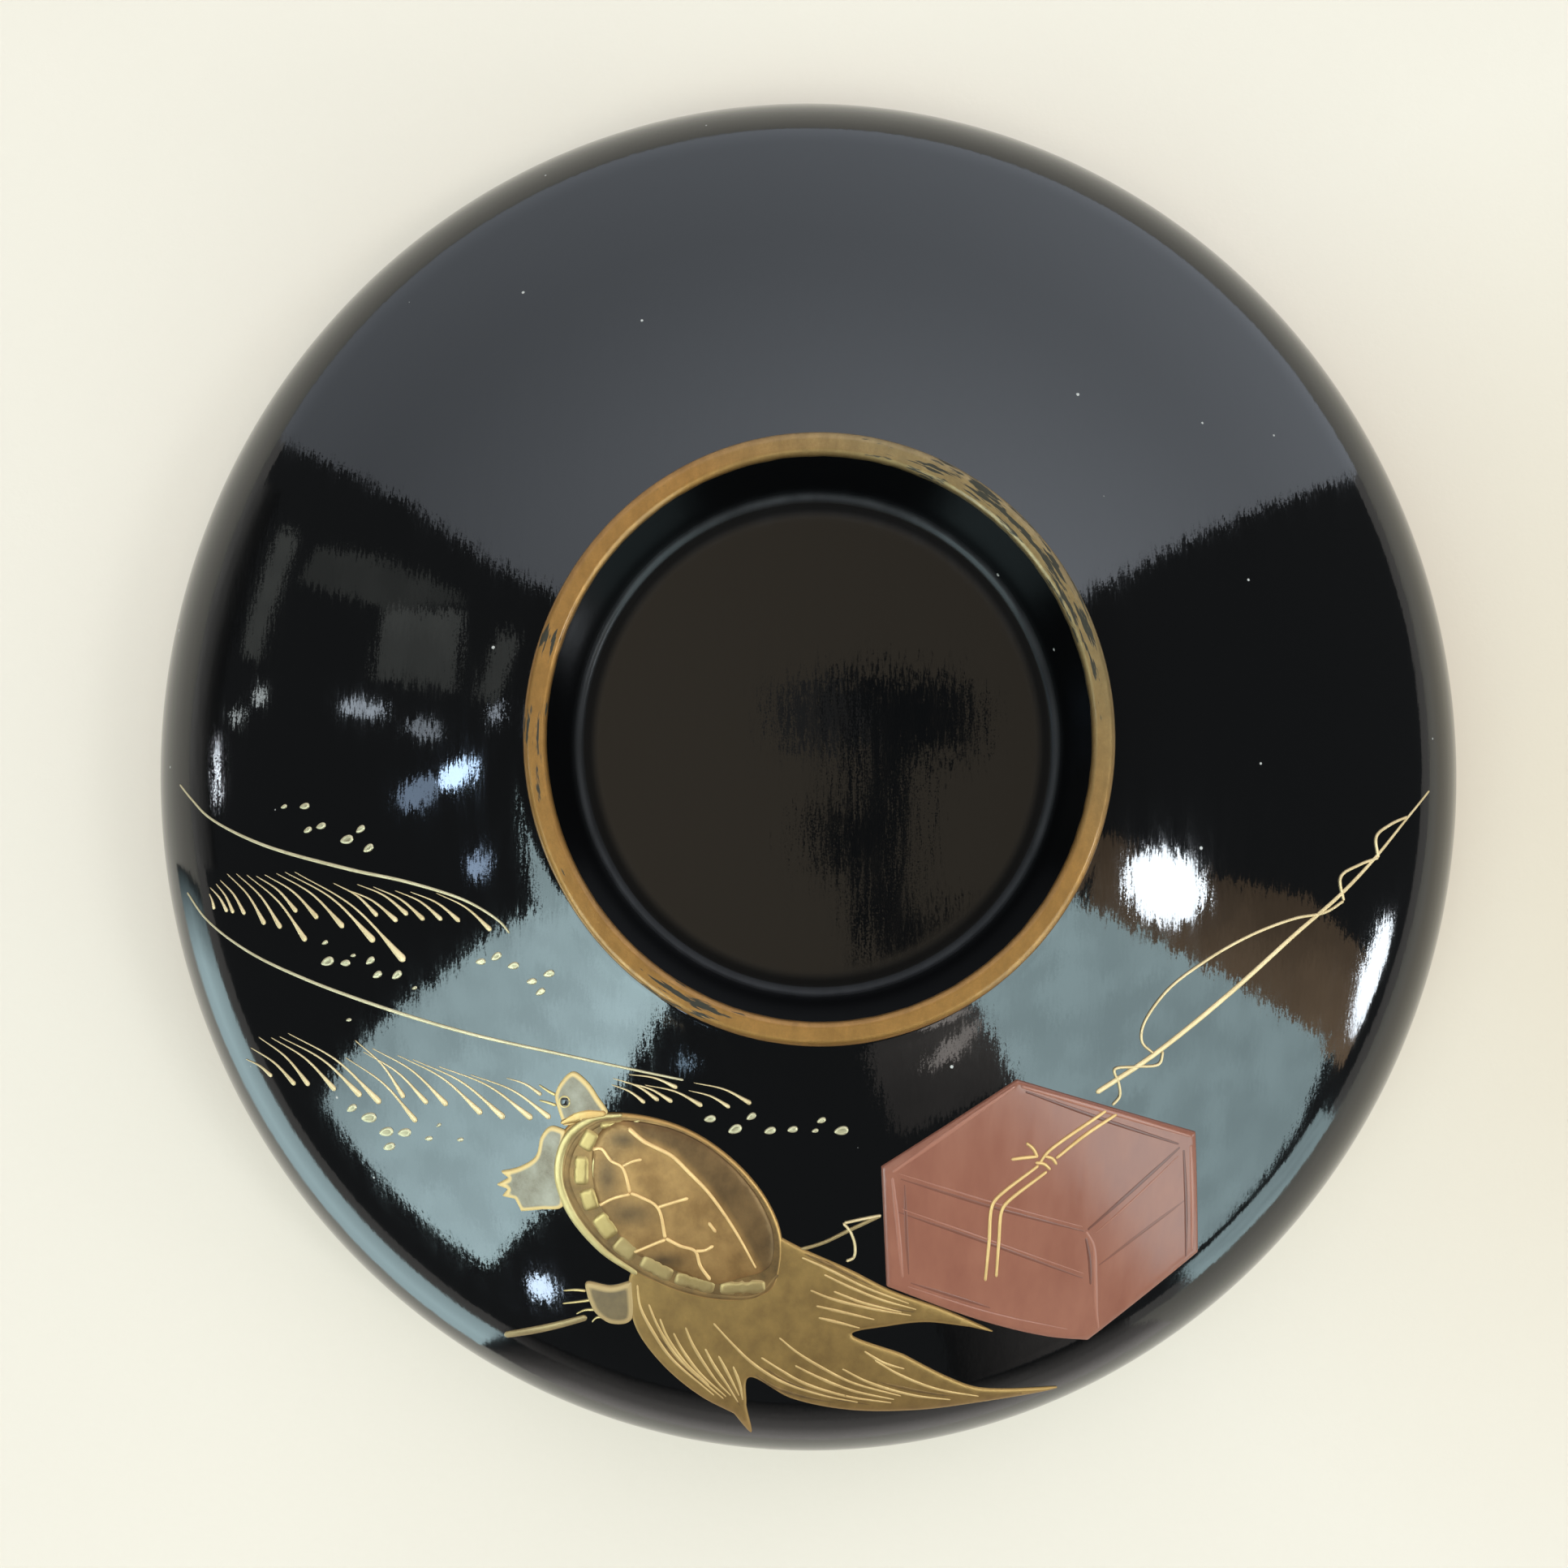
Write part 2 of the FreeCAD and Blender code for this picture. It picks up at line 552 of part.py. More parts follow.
def make_layers(outer):
    """Thin layers over the lacquer, from which the raised decoration is cut out."""
    low = grown(outer, "line_surface", "<line_relief>")
    middle = grown(outer, "body_surface", "<body_relief>")
    lines_on_body = grown(outer, "body_line_surface", "<body_relief> + <line_relief>")
    high = grown(outer, "shell_surface", "<shell_relief>")
    lines_on_shell = grown(outer, "shell_line_surface", "<shell_relief> + <line_relief>")
    return {
        "line": cut(low, outer, "line_layer"),
        "body": cut(middle, outer, "body_layer"),
        "on_body": cut(lines_on_body, middle, "on_body_layer"),
        "shell": cut(high, outer, "shell_layer"),
        "on_shell": cut(lines_on_shell, high, "on_shell_layer"),
    }


def raised(layer, block, label):
    return seasoned(common(layer, block, label + "_turned"), label)


def make_turtle(layers):
    shell = prism("shell", closed_spline(TURTLE_SHELL))
    whole = prism("whole_shell", closed_spline(TURTLE_MARGIN))
    tail = cut(prism("tail", TURTLE_TAIL), whole, "tail_clear")
    head = cut(prism("head", TURTLE_HEAD), whole, "head_clear")
    front_leg = cut(prism("front_leg", TURTLE_FRONT_LEG), whole, "front_leg_clear")
    hind_leg = cut(prism("hind_leg", TURTLE_HIND_LEG), fused("hind_leg_space", [whole, tail]),
                   "hind_leg_clear")
    claws = cut(strokes_prism("claw", TURTLE_CLAWS, [0.3, 0.36]), hind_leg, "claws_clear")
    seams = strokes_prism("seam", SHELL_SEAMS, [0.3, 0.32, 0.3])
    hairs = strokes_prism("hair", TURTLE_TAIL_HAIRS, [0.3, 0.34, 0.2])
    return [
        raised(layers["shell"], shell, "turtle_shell"),
        raised(layers["body"], cut(whole, shell, "margin_band"), "turtle_shell_margin"),
        raised(layers["on_shell"], common(seams, shell, "seams_on_shell"), "turtle_shell_seams"),
        raised(layers["body"], head, "turtle_head"),
        raised(layers["body"], front_leg, "turtle_front_leg"),
        raised(layers["body"], hind_leg, "turtle_hind_leg"),
        raised(layers["body"], claws, "turtle_claws"),
        raised(layers["body"], tail, "turtle_tail"),
        raised(layers["on_body"], common(hairs, tail, "hairs_on_tail"), "turtle_tail_hairs"),
    ], fused("turtle_space", [whole, tail, hind_leg])


def make_box(layers):
    box = prism("box", RED_BOX)
    ridges = strokes_prism("ridge", BOX_RIDGES, [0.35, 0.4, 0.35])
    cord = strokes_prism("cord", BOX_CORD, [0.3, 0.34, 0.34, 0.3])
    ridges_seen = common(cut(ridges, cord, "ridges_clear"), box, "ridges_on_box")
    return [
        raised(layers["body"], box, "red_box"),
        raised(layers["on_body"], ridges_seen, "box_ridges"),
        raised(layers["on_body"], common(cord, box, "cord_on_box"), "box_cord"),
    ], box


def make_rod_and_line(layers, turtle, box):
    """The rod lies behind the turtle and the box, and its line is wound round it."""
    taken = fused("rod_space", [turtle, box])
    rod = cut(strokes_prism("rod", FISHING_ROD, [0.34, 0.42, 0.5, 0.6]), taken, "rod_clear")
    line_blocks = strokes_prism("line", FISHING_LINE, [0.26, 0.3, 0.28])
    line_free = cut(line_blocks, fused("line_space", [turtle, box, rod]), "line_clear")
    return [
        raised(layers["line"], rod, "fishing_rod"),
        raised(layers["line"], line_free, "fishing_line"),
    ]


def make_water(layers):
    crests = strokes_prism("crest", WAVE_CRESTS, [0.3, 0.42, 0.4, 0.34, 0.26])
    spray = prism("spray", [edge for ends in WAVE_SPRAY for edge in spray_stroke(*ends)])
    foam = prism("foam", [edge for place in FOAM_DROPS for edge in drop(*place)])
    return [
        raised(layers["line"], crests, "wave_crests"),
        raised(layers["line"], spray, "wave_spray"),
        raised(layers["line"], foam, "foam_drops"),
    ]


# ---------------------------------------------------------------- assembly and export


def check(nodes):
    """Stops if any object failed to recompute, or a sub-part isn't made of valid closed solids."""
    failed = [o.Name for o in DOC.Objects if {"Invalid", "Error"} & set(o.State)]
    bad = [n.Label for n in nodes if n.Shape.isNull() or not n.Shape.isValid() or not n.Shape.Solids]
    if failed or bad:
        raise RuntimeError(f"failed objects {failed}, bad shapes {bad}")


def main():
    outer, hollow = make_outer_form(), make_hollow_form()
    layers = make_layers(outer)
    nodes = [*make_wood_and_lacquer(outer, hollow), make_gold_band(outer)]
    turtle_nodes, turtle = make_turtle(layers)
    box_nodes, box = make_box(layers)
    nodes += [*turtle_nodes, *box_nodes]
    nodes += make_rod_and_line(layers, turtle, box)
    nodes += make_water(layers)
    DOC.recompute()
    check(nodes)
    os.makedirs("parts", exist_ok=True)
    for node in nodes:
        node.Shape.exportStep(os.path.join("parts", node.Label + ".step"))
        shape = node.Shape
        print(f"{node.Label}: {len(shape.Solids)} solids, {shape.Volume:.2f} mm3, {shape.BoundBox}")


main()
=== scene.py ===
"""Looks of a turned wooden lid of a soup bowl, lacquered black and decorated in raised gold and red.

The shapes are worked out on the round lid, as it left the lathe, in millimetres: the axis is at (0, 0),
+Z is up, the rim stands at height 0 and the decorated side faces -Y. `to_world` narrows them across the
grain, which runs along Y, and turns them into metres. `inset` is a distance inwards from an outline.
"""

import math

import bmesh
import bpy
import numpy as np
from mathutils import Matrix, Vector, noise
from mathutils.geometry import delaunay_2d_cdt


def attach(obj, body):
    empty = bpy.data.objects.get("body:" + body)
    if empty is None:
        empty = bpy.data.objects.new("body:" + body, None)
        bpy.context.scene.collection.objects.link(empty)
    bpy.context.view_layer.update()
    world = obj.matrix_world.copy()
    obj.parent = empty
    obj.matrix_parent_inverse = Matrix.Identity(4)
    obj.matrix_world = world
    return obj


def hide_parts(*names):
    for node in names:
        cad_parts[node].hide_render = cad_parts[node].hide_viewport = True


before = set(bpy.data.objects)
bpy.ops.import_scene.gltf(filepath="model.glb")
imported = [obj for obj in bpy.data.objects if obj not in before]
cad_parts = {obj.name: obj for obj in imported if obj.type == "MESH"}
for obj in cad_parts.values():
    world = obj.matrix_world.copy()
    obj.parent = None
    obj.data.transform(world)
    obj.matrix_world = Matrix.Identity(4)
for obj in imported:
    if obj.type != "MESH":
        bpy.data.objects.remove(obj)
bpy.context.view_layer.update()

MM = 0.001
ACROSS_GRAIN = 0.96

# ---------------------------------------------------------------- the lid's turned form

WAIST_RADIUS = 59.0
WAIST_HEIGHT = 7.0
SHOULDER_RADIUS = 13.0
SHOULDER_END = math.radians(25)
DOME_RADIUS = 100.0
LOWER_WALL_RADIUS = 22.0
RIM_EDGE = 0.9
RING_HEIGHT = 32.9
RING_OUTER = 22.8
RING_FOOT = 23.0
RING_FOOT_CORNER = 0.6
RING_INNER = 21.2
RING_EDGE = 0.45
RECESS_FLOOR = 26.8
RECESS_RADIUS = 19.4
RECESS_CORNER = 1.0
HOLLOW_RADIUS = 55.9
HOLLOW_WAIST = 6.5
HOLLOW_SHOULDER = 11.3
HOLLOW_APEX = 22.3
OUTER_COAT = 0.35
INNER_COAT = 0.3
COAT_JOIN = 0.3
TURNING_STEPS = 384

SHOULDER_CENTRE = np.array([WAIST_RADIUS - SHOULDER_RADIUS, WAIST_HEIGHT])
LOWER_CENTRE = np.array([WAIST_RADIUS - LOWER_WALL_RADIUS, WAIST_HEIGHT])
SPLIT = SHOULDER_CENTRE + SHOULDER_RADIUS * np.array([math.sin(SHOULDER_END), math.cos(SHOULDER_END)])
DOME_CENTRE = SPLIT - DOME_RADIUS * np.array([math.sin(SHOULDER_END), math.cos(SHOULDER_END)])


def to_world(points):
    """Points of the round lid in millimetres, as points of the finished lid in metres."""
    return np.asarray(points, float) * [ACROSS_GRAIN * MM, MM, MM]


def arc(centre, radius, start, end, steps):
    """Profile points on an arc. The angles are in radians from straight up, turning outwards."""
    angles = np.linspace(start, end, steps)
    return np.stack([centre[0] + radius * np.sin(angles), centre[1] + radius * np.cos(angles)], 1)


def round_corner(before, corner, after, radius, steps=10):
    """Profile points that replace a corner between two straight stretches with an arc."""
    corner = np.asarray(corner, float)
    back = np.asarray(before, float) - corner
    ahead = np.asarray(after, float) - corner
    back, ahead = back / np.linalg.norm(back), ahead / np.linalg.norm(ahead)
    half = math.acos(float(back @ ahead)) / 2
    middle = (back + ahead) / np.linalg.norm(back + ahead)
    centre = corner + middle * radius / math.sin(half)
    first = corner + back * radius / math.tan(half) - centre
    last = corner + ahead * radius / math.tan(half) - centre
    made = []
    for part in np.linspace(0, 1, steps):
        spoke = first * (1 - part) + last * part
        made.append(centre + radius * spoke / np.linalg.norm(spoke))
    return np.array(made)


def ring_foot():
    """The hollow corner between the dome and the ring's outer wall."""
    reach = RING_FOOT - DOME_CENTRE[0]
    foot = np.array([RING_FOOT, DOME_CENTRE[1] + math.sqrt(DOME_RADIUS**2 - reach**2)])
    wall = np.array([RING_OUTER, RING_HEIGHT]) - foot
    wall /= np.linalg.norm(wall)
    outwards = np.array([wall[1], -wall[0]])
    start = foot + RING_FOOT_CORNER * outwards - DOME_CENTRE
    reach = DOME_RADIUS + RING_FOOT_CORNER
    along = -start @ wall + math.sqrt((start @ wall) ** 2 - start @ start + reach**2)
    centre = DOME_CENTRE + start + along * wall
    on_dome = math.atan2(*(DOME_CENTRE - centre))
    on_wall = math.atan2(*(-outwards))
    return arc(centre, RING_FOOT_CORNER, on_dome % math.tau, on_wall % math.tau, 12)


def outer_profile():
    """The outside from the rim's foot up over the shoulder, the dome and the ring to the axis."""
    edge_reach = LOWER_WALL_RADIUS - RIM_EDGE
    edge_drop = WAIST_HEIGHT - RIM_EDGE
    edge_centre = LOWER_CENTRE + np.array([math.sqrt(edge_reach**2 - edge_drop**2), -edge_drop])
    wall_end = math.atan2(*(edge_centre - LOWER_CENTRE))
    foot = ring_foot()
    dome_end = math.asin((foot[0][0] - DOME_CENTRE[0]) / DOME_RADIUS)
    outside, face_out = foot[-1], (RING_OUTER, RING_HEIGHT)
    face_in, corner = (RING_INNER, RING_HEIGHT), (RECESS_RADIUS, RECESS_FLOOR)
    ring_inside = round_corner(face_out, face_in, corner, RING_EDGE)
    recess_foot = round_corner(face_in, corner, (0, RECESS_FLOOR), RECESS_CORNER, 14)
    return np.vstack([
        arc(edge_centre, RIM_EDGE, math.pi, wall_end, 10),
        arc(LOWER_CENTRE, LOWER_WALL_RADIUS, wall_end, math.pi / 2, 10)[1:],
        arc(SHOULDER_CENTRE, SHOULDER_RADIUS, math.pi / 2, SHOULDER_END, 40)[1:],
        arc(DOME_CENTRE, DOME_RADIUS, SHOULDER_END, dome_end, 40)[1:],
        foot[1:],
        round_corner(outside, face_out, face_in, RING_EDGE),
        ring_inside,
        np.linspace(ring_inside[-1], recess_foot[0], 16)[1:-1],
        recess_foot,
        [(radius, RECESS_FLOOR) for radius in (18.2, 17.8, 17.4, 17, 16.5, 15, 12, 9, 6, 3, 0)],
    ])


def hollow_profile():
    """The hollow from the rim up to the axis."""
    offset = HOLLOW_RADIUS - HOLLOW_SHOULDER
    rise, reach = HOLLOW_APEX - HOLLOW_WAIST, HOLLOW_APEX - HOLLOW_SHOULDER - HOLLOW_WAIST
    ceiling = (offset**2 + rise**2 - HOLLOW_SHOULDER**2) / (2 * reach)
    split = math.atan2(offset, HOLLOW_WAIST - HOLLOW_APEX + ceiling)
    return np.vstack([
        [(HOLLOW_RADIUS, height) for height in (0, COAT_JOIN, 2, 4)],
        arc((offset, HOLLOW_WAIST), HOLLOW_SHOULDER, math.pi / 2, split, 30),
        arc((0, HOLLOW_APEX - ceiling), ceiling, split, 0, 40)[1:],
    ])


def normals_of(profile):
    """The direction to the right of the profile at each of its points, which is outwards for the lid."""
    steps = np.gradient(profile, axis=0)
    steps /= np.linalg.norm(steps, axis=1, keepdims=True)
    return np.stack([steps[:, 1], -steps[:, 0]], 1)


def lid_surface(x, y, lift):
    """Points at a height over the outer lacquer, straight out from it, above the plan points (x, y)."""
    radius = np.hypot(x, y)
    on_dome = radius < SPLIT[0]
    lean = np.where(on_dome, (radius - DOME_CENTRE[0]) / DOME_RADIUS,
                    (radius - SHOULDER_CENTRE[0]) / SHOULDER_RADIUS)
    rise = np.sqrt(1 - np.clip(lean, -1, 1) ** 2)
    level = np.where(on_dome, DOME_CENTRE[1] + DOME_RADIUS * rise,
                     SHOULDER_CENTRE[1] + SHOULDER_RADIUS * rise)
    grow = 1 + lift * lean / radius
    return np.stack([x * grow, y * grow, level + lift * rise], -1)


# ---------------------------------------------------------------- making meshes


def make_piece(name, points, faces, finish, attributes=None):
    """A smooth closed piece that rides on the lid. Its attributes are numbers per point."""
    mesh = bpy.data.meshes.new(name)
    mesh.from_pydata(to_world(points).tolist(), [], faces)
    mesh.update()
    for key, values in (attributes or {}).items():
        mesh.attributes.new(key, "FLOAT", "POINT").data.foreach_set("value", np.asarray(values, np.float32))
    shell = bmesh.new()
    shell.from_mesh(mesh)
    bmesh.ops.recalc_face_normals(shell, faces=shell.faces)
    shell.to_mesh(mesh)
    shell.free()
    mesh.shade_smooth()
    mesh.materials.append(finish)
    piece = bpy.data.objects.new(name, mesh)
    bpy.context.scene.collection.objects.link(piece)
    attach(piece, "root")
    return piece


def stands_for(piece, slot, *nodes):
    """Hides the CAD nodes that the piece stands for. The slot is not used."""
    if nodes:
        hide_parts(*nodes)
    return piece


def turned_faces(sections, length):
    """Faces between the closed sections of a ring-shaped piece, each with that many points."""
    faces = []
    for turn in range(sections):
        near, far = turn * length, (turn + 1) % sections * length
        for step in range(length):
            after = (step + 1) % length
            faces.append((near + step, far + step, far + after, near + after))
    return faces


def recess_marks(radius, height):
    """How dull a profile point is, in the ring's recess and on the handled shoulder, and how much painted
    highlight it takes.
    """
    if height > RECESS_FLOOR - 0.1 and radius < RING_INNER + 0.1:
        dull = float(np.clip((radius - RECESS_RADIUS + 2.2) / 1.2, 0, 1))
        # The second value is a painted highlight: a soft grey line on the recess floor at the foot of its wall,
        # where the fillet catches light.
        return dull, math.exp(-((radius - RECESS_RADIUS + 0.15) / 0.26) ** 2)
    return 0.3 * float(np.clip((radius - 50) / 6, 0, 1)), 0.0


def turn_on_lathe(name, loop, finish):
    """A closed ring or bowl from a closed profile loop. Loop points at radius 0 become one point."""
    angles = np.linspace(0, math.tau, TURNING_STEPS, endpoint=False)
    points, index, dull, painted_glint = [], [], [], []
    for radius, height in loop:
        count = 1 if radius < 1e-6 else TURNING_STEPS
        index.append([len(points) + turn % count for turn in range(TURNING_STEPS)])
        points.extend(zip(radius * np.cos(angles[:count]), radius * np.sin(angles[:count]), [height] * count))
        marks = recess_marks(radius, height)
        dull += [marks[0]] * count
        painted_glint += [marks[1]] * count
    faces = []
    for row, after in zip(index, index[1:] + index[:1]):
        for turn in range(TURNING_STEPS):
            other = (turn + 1) % TURNING_STEPS
            corners = list(dict.fromkeys((row[turn], row[other], after[other], after[turn])))
            if len(corners) > 2:
                faces.append(tuple(corners))
    piece = make_piece(name, points, faces, finish, {"dull": dull, "painted_glint": painted_glint})
    piece.data.set_sharp_from_angle(angle=math.radians(50))
    return piece


# ---------------------------------------------------------------- plan outlines and raised shapes

CURVE_STEP = 0.12
RELIEF_PITCH = 0.3
SUNK = 0.05


def smooth(points, closed=False, step=CURVE_STEP):
    """Close points on a smooth curve through the given ones, without the last if the curve is closed."""
    points = np.asarray(points, float)
    if closed:
        ends = np.vstack([points[-1:], points, points[:2]])
    else:
        ends = np.vstack([2 * points[0] - points[1], points, 2 * points[-1] - points[-2]])
    made = []
    for before, start, end, after in zip(ends, ends[1:], ends[2:], ends[3:]):
        pairs = ((before, start), (start, end), (end, after))
        gaps = [math.sqrt(max(math.dist(one, other), 1e-9)) for one, other in pairs]
        leave = (start - before) / gaps[0] - (end - before) / (gaps[0] + gaps[1]) + (end - start) / gaps[1]
        arrive = (end - start) / gaps[1] - (after - start) / (gaps[1] + gaps[2]) + (after - end) / gaps[2]
        leave, arrive = leave * gaps[1], arrive * gaps[1]
        for part in np.arange(0, 1, min(0.5, step / math.dist(start, end))):
            square, cube = part**2, part**3
            made.append((2 * cube - 3 * square + 1) * start + (cube - 2 * square + part) * leave
                        + (3 * square - 2 * cube) * end + (cube - square) * arrive)
    if not closed:
        made.append(points[-1])
    return np.array(made)


def outline(*runs):
    """A closed outline of smooth runs that meet at corners. Each run starts where the last one ended."""
    starts = [run[0] for run in runs[1:]] + [runs[0][0]]
    return np.vstack([smooth([*run, start])[:-1] for run, start in zip(runs, starts)])


def inside(points, loop):
    """Which of the points are inside the closed loop."""
    x, y = points[:, 0, None], points[:, 1, None]
    x0, y0 = loop.T
    x1, y1 = np.roll(loop, -1, 0).T
    crossed = (y0 > y) != (y1 > y)
    reach = x0 + (y - y0) * (x1 - x0) / np.where(y1 == y0, 1, y1 - y0)
    return (crossed & (x < reach)).sum(1) % 2 == 1


def distance(points, path, closed=True):
    """How far each point is from the path."""
    start = path if closed else path[:-1]
    run = (np.roll(path, -1, 0) if closed else path[1:]) - start
    length = np.maximum((run**2).sum(1), 1e-12)
    away = points[:, None, :] - start[None, :, :]
    part = np.clip((away * run).sum(2) / length, 0, 1)
    return np.sqrt(((away - part[..., None] * run) ** 2).sum(2).min(1))


def shifted(loop, inset):
    """Points that far inside a loop, next to its own points."""
    along = np.roll(loop, -1, 0) - np.roll(loop, 1, 0)
    along /= np.linalg.norm(along, axis=1, keepdims=True)
    turns = np.sign((loop[:, 0] * np.roll(loop[:, 1], -1) - np.roll(loop[:, 0], -1) * loop[:, 1]).sum())
    moved = loop + turns * inset * np.stack([-along[:, 1], along[:, 0]], 1)
    keep = inside(moved, loop) & (distance(moved, loop) > 0.9 * inset)
    return moved[keep]


def fill_points(loop, pitch):
    """Points that fill a loop: two rows along its edge, and a staggered grid within them."""
    low, high = loop.min(0), loop.max(0)
    columns = np.arange(low[0], high[0], pitch)
    rows = np.arange(low[1], high[1], pitch * 0.866)
    x, y = np.meshgrid(columns, rows)
    x[1::2] += pitch / 2
    grid = np.stack([x.ravel(), y.ravel()], 1)
    grid = grid[inside(grid, loop)]
    grid = grid[distance(grid, loop) > 0.17 + 0.5 * pitch]
    return np.vstack([shifted(loop, 0.06), shifted(loop, 0.17), grid])


def raised_patch(loop, height, pitch=RELIEF_PITCH):
    """Points, faces and insets of a closed raised patch. height(points, inset) is over the lacquer."""
    points = np.vstack([loop, fill_points(loop, pitch)])
    face = list(range(len(loop)))
    flat, _, faces, *_ = delaunay_2d_cdt([Vector(p) for p in points], [], [face], 1, 1e-5)
    flat = np.array([tuple(p) for p in flat])
    inset = distance(flat, loop)
    lift = np.where(inset < 0.01, -SUNK, height(flat, inset))
    top = lid_surface(flat[:, 0], flat[:, 1], lift)
    bottom = lid_surface(flat[:, 0], flat[:, 1], np.full(len(flat), -2 * SUNK))
    count = len(flat)
    edges = {}
    for corners in faces:
        for start, end in zip(corners, corners[1:] + corners[:1]):
            edges[(start, end)] = True
    border = [(start, end) for start, end in edges if (end, start) not in edges]
    closed = [tuple(corners) for corners in faces]
    closed += [tuple(corner + count for corner in reversed(corners)) for corners in faces]
    closed += [(end, start, start + count, end + count) for start, end in border]
    return np.vstack([top, bottom]), closed, np.tile(inset, 2)


def rounded(inset, edge):
    """A quarter round: 0 at the outline, and 1 from that far inside it."""
    part = np.clip(inset / edge, 0, 1)
    return np.sqrt(1 - (1 - part) ** 2)


def raise_patches(name, loops, height, finish, pitch=RELIEF_PITCH):
    """One piece of raised patches, with their insets as an attribute."""
    points, faces, insets = [], [], []
    for loop in loops:
        some, between, inset = raised_patch(loop, height, pitch)
        start = sum(len(made) for made in points)
        points.append(some)
        faces += [tuple(corner + start for corner in corners) for corners in between]
        insets.append(inset)
    return make_piece(name, np.vstack(points), faces, finish, {"inset": np.concatenate(insets)})


SECTION = 7


def level_ground(height):
    """A ground that far over the lacquer, for strokes to lie on."""
    return lambda x, y: np.full_like(x, height)


def brush_strokes(name, strokes, thickness, finish, ground=level_ground(0)):
    """One piece of raised strokes: (points, widths) each, with rounded ends, lying on the ground."""
    across = np.linspace(-1, 1, SECTION)
    crown = np.sqrt(1 - across**2)
    points, faces = [], []
    for path, widths in strokes:
        middle = smooth(path, step=0.1)
        steps = np.gradient(middle, axis=0)
        steps /= np.linalg.norm(steps, axis=1, keepdims=True)
        side = np.stack([-steps[:, 1], steps[:, 0]], 1)
        run = np.concatenate([[0], np.cumsum(np.linalg.norm(np.diff(middle, axis=0), axis=1))])
        half = np.interp(run / run[-1], np.linspace(0, 1, len(widths)), widths) / 2
        for gone, end in ((run, half[0]), (run[-1] - run, half[-1])):
            half = half * np.where(gone < end, np.sqrt(1 - (1 - np.clip(gone / end, 0.02, 1)) ** 2), 1)
        plan = middle[:, None, :] + side[:, None, :] * (half[:, None] * across)[..., None]
        x, y = plan[..., 0].ravel(), plan[..., 1].ravel()
        bulge = thickness * np.clip(half / max(half), 0.1, 1) ** 0.5
        raised = (bulge[:, None] * crown[None, :]).ravel()
        lift = ground(x, y) + raised - SUNK * (np.tile(crown, len(half)) < 0.1)
        start = sum(len(made) for made in points)
        points.append(lid_surface(x, y, lift))
        for ring in range(len(middle) - 1):
            near, far = start + ring * SECTION, start + (ring + 1) * SECTION
            for step in range(SECTION):
                after = (step + 1) % SECTION
                faces.append((near + step, near + after, far + after, far + step))
        last = start + (len(middle) - 1) * SECTION
        faces.append(tuple(range(start + SECTION - 1, start - 1, -1)))
        faces.append(tuple(range(last, last + SECTION)))
    points = np.vstack(points)
    return make_piece(name, points, faces, finish)


def stroke_list(lines, widths):
    """Strokes along the lines, all with the same run of widths."""
    return [(points, widths) for points in lines]


# ---------------------------------------------------------------- finishes

STREAK_LEAN = 0.013
SPARKLE_LEAN = 0.007
BLACK_TINT = (0.0013, 0.0013, 0.0014)
INNER_TINT = (0.008, 0.007, 0.0065)
PAINTED_FILLET_HIGHLIGHT = (0.022, 0.022, 0.023)
# Grey of the painted highlight at the foot of the ring's recess wall.
SPECK_COLOUR = (0.28, 0.27, 0.25)
WARM_GILDING = (0.20, 0.095, 0.022), (0.275, 0.135, 0.034)
OLIVE_GILDING = (0.14, 0.105, 0.048), (0.20, 0.15, 0.068)
GRITTY_GILDING = (0.16, 0.08, 0.025)
RUBBED_THROUGH = (0.02, 0.018, 0.012)
TABLETOP = (0.447, 0.393, 0.336), (0.465, 0.409, 0.35)
# Painted shade, warm with bounced light, on the tabletop beside the lid's right.
TABLETOP_SHADE = (0.411, 0.346, 0.275)


def add_node(tree, kind, inputs=None, **settings):
    """A shader node with these settings, and input values or links by name."""
    made = tree.nodes.new(kind)
    for key, value in settings.items():
        setattr(made, key, value)
    for key, value in (inputs or {}).items():
        if isinstance(value, bpy.types.NodeSocket):
            tree.links.new(value, made.inputs[key])
        else:
            made.inputs[key].default_value = value
    return made


def principled(name, **values):
    """A material, its node tree and its shader, with the values that are the same all over."""
    finish = bpy.data.materials.new(name)
    finish.use_nodes = True
    shader = finish.node_tree.nodes["Principled BSDF"]
    for key, value in values.items():
        shader.inputs[key.replace("_", " ")].default_value = value
    return finish, finish.node_tree, shader


def place(tree, scale=(1, 1, 1), shift=(0, 0, 0)):
    """Coordinates on the lid in millimetres, stretched by the scale."""
    spot = add_node(tree, "ShaderNodeTexCoord")
    sizes = tuple(part / MM for part in scale)
    moved = add_node(tree, "ShaderNodeMapping",
                     {"Vector": spot.outputs["Object"], "Scale": sizes, "Location": shift})
    return moved.outputs["Vector"]


def cloud(tree, scale, shift=(0, 0, 0), detail=2.0, rough=0.5):
    """Soft random values about 0.5. The scale is waves per millimetre along each axis."""
    made = add_node(tree, "ShaderNodeTexNoise",
                    {"Vector": place(tree, scale, shift), "Scale": 1.0, "Detail": detail, "Roughness": rough})
    return made.outputs["Fac"]


def between(tree, value, low, high, to_low=0.0, to_high=1.0):
    """The value moved from one range to another, and held at its ends."""
    made = add_node(tree, "ShaderNodeMapRange", {"Value": value, "From Min": low, "From Max": high,
                                                 "To Min": to_low, "To Max": to_high})
    return made.outputs["Result"]


def sums(tree, operation, first, second):
    """The result of a sum on two values, by the name of its operation."""
    made = add_node(tree, "ShaderNodeMath", {0: first, 1: second}, operation=operation)
    return made.outputs["Value"]


def blend_colours(tree, factor, first, second):
    """A mix of two colours, each a colour or a link."""
    made = add_node(tree, "ShaderNodeMix", data_type="RGBA")
    for slot_index, value in ((0, factor), (6, first), (7, second)):
        if isinstance(value, bpy.types.NodeSocket):
            tree.links.new(value, made.inputs[slot_index])
        else:
            made.inputs[slot_index].default_value = value if slot_index == 0 else (*value, 1)
    return made.outputs[2]


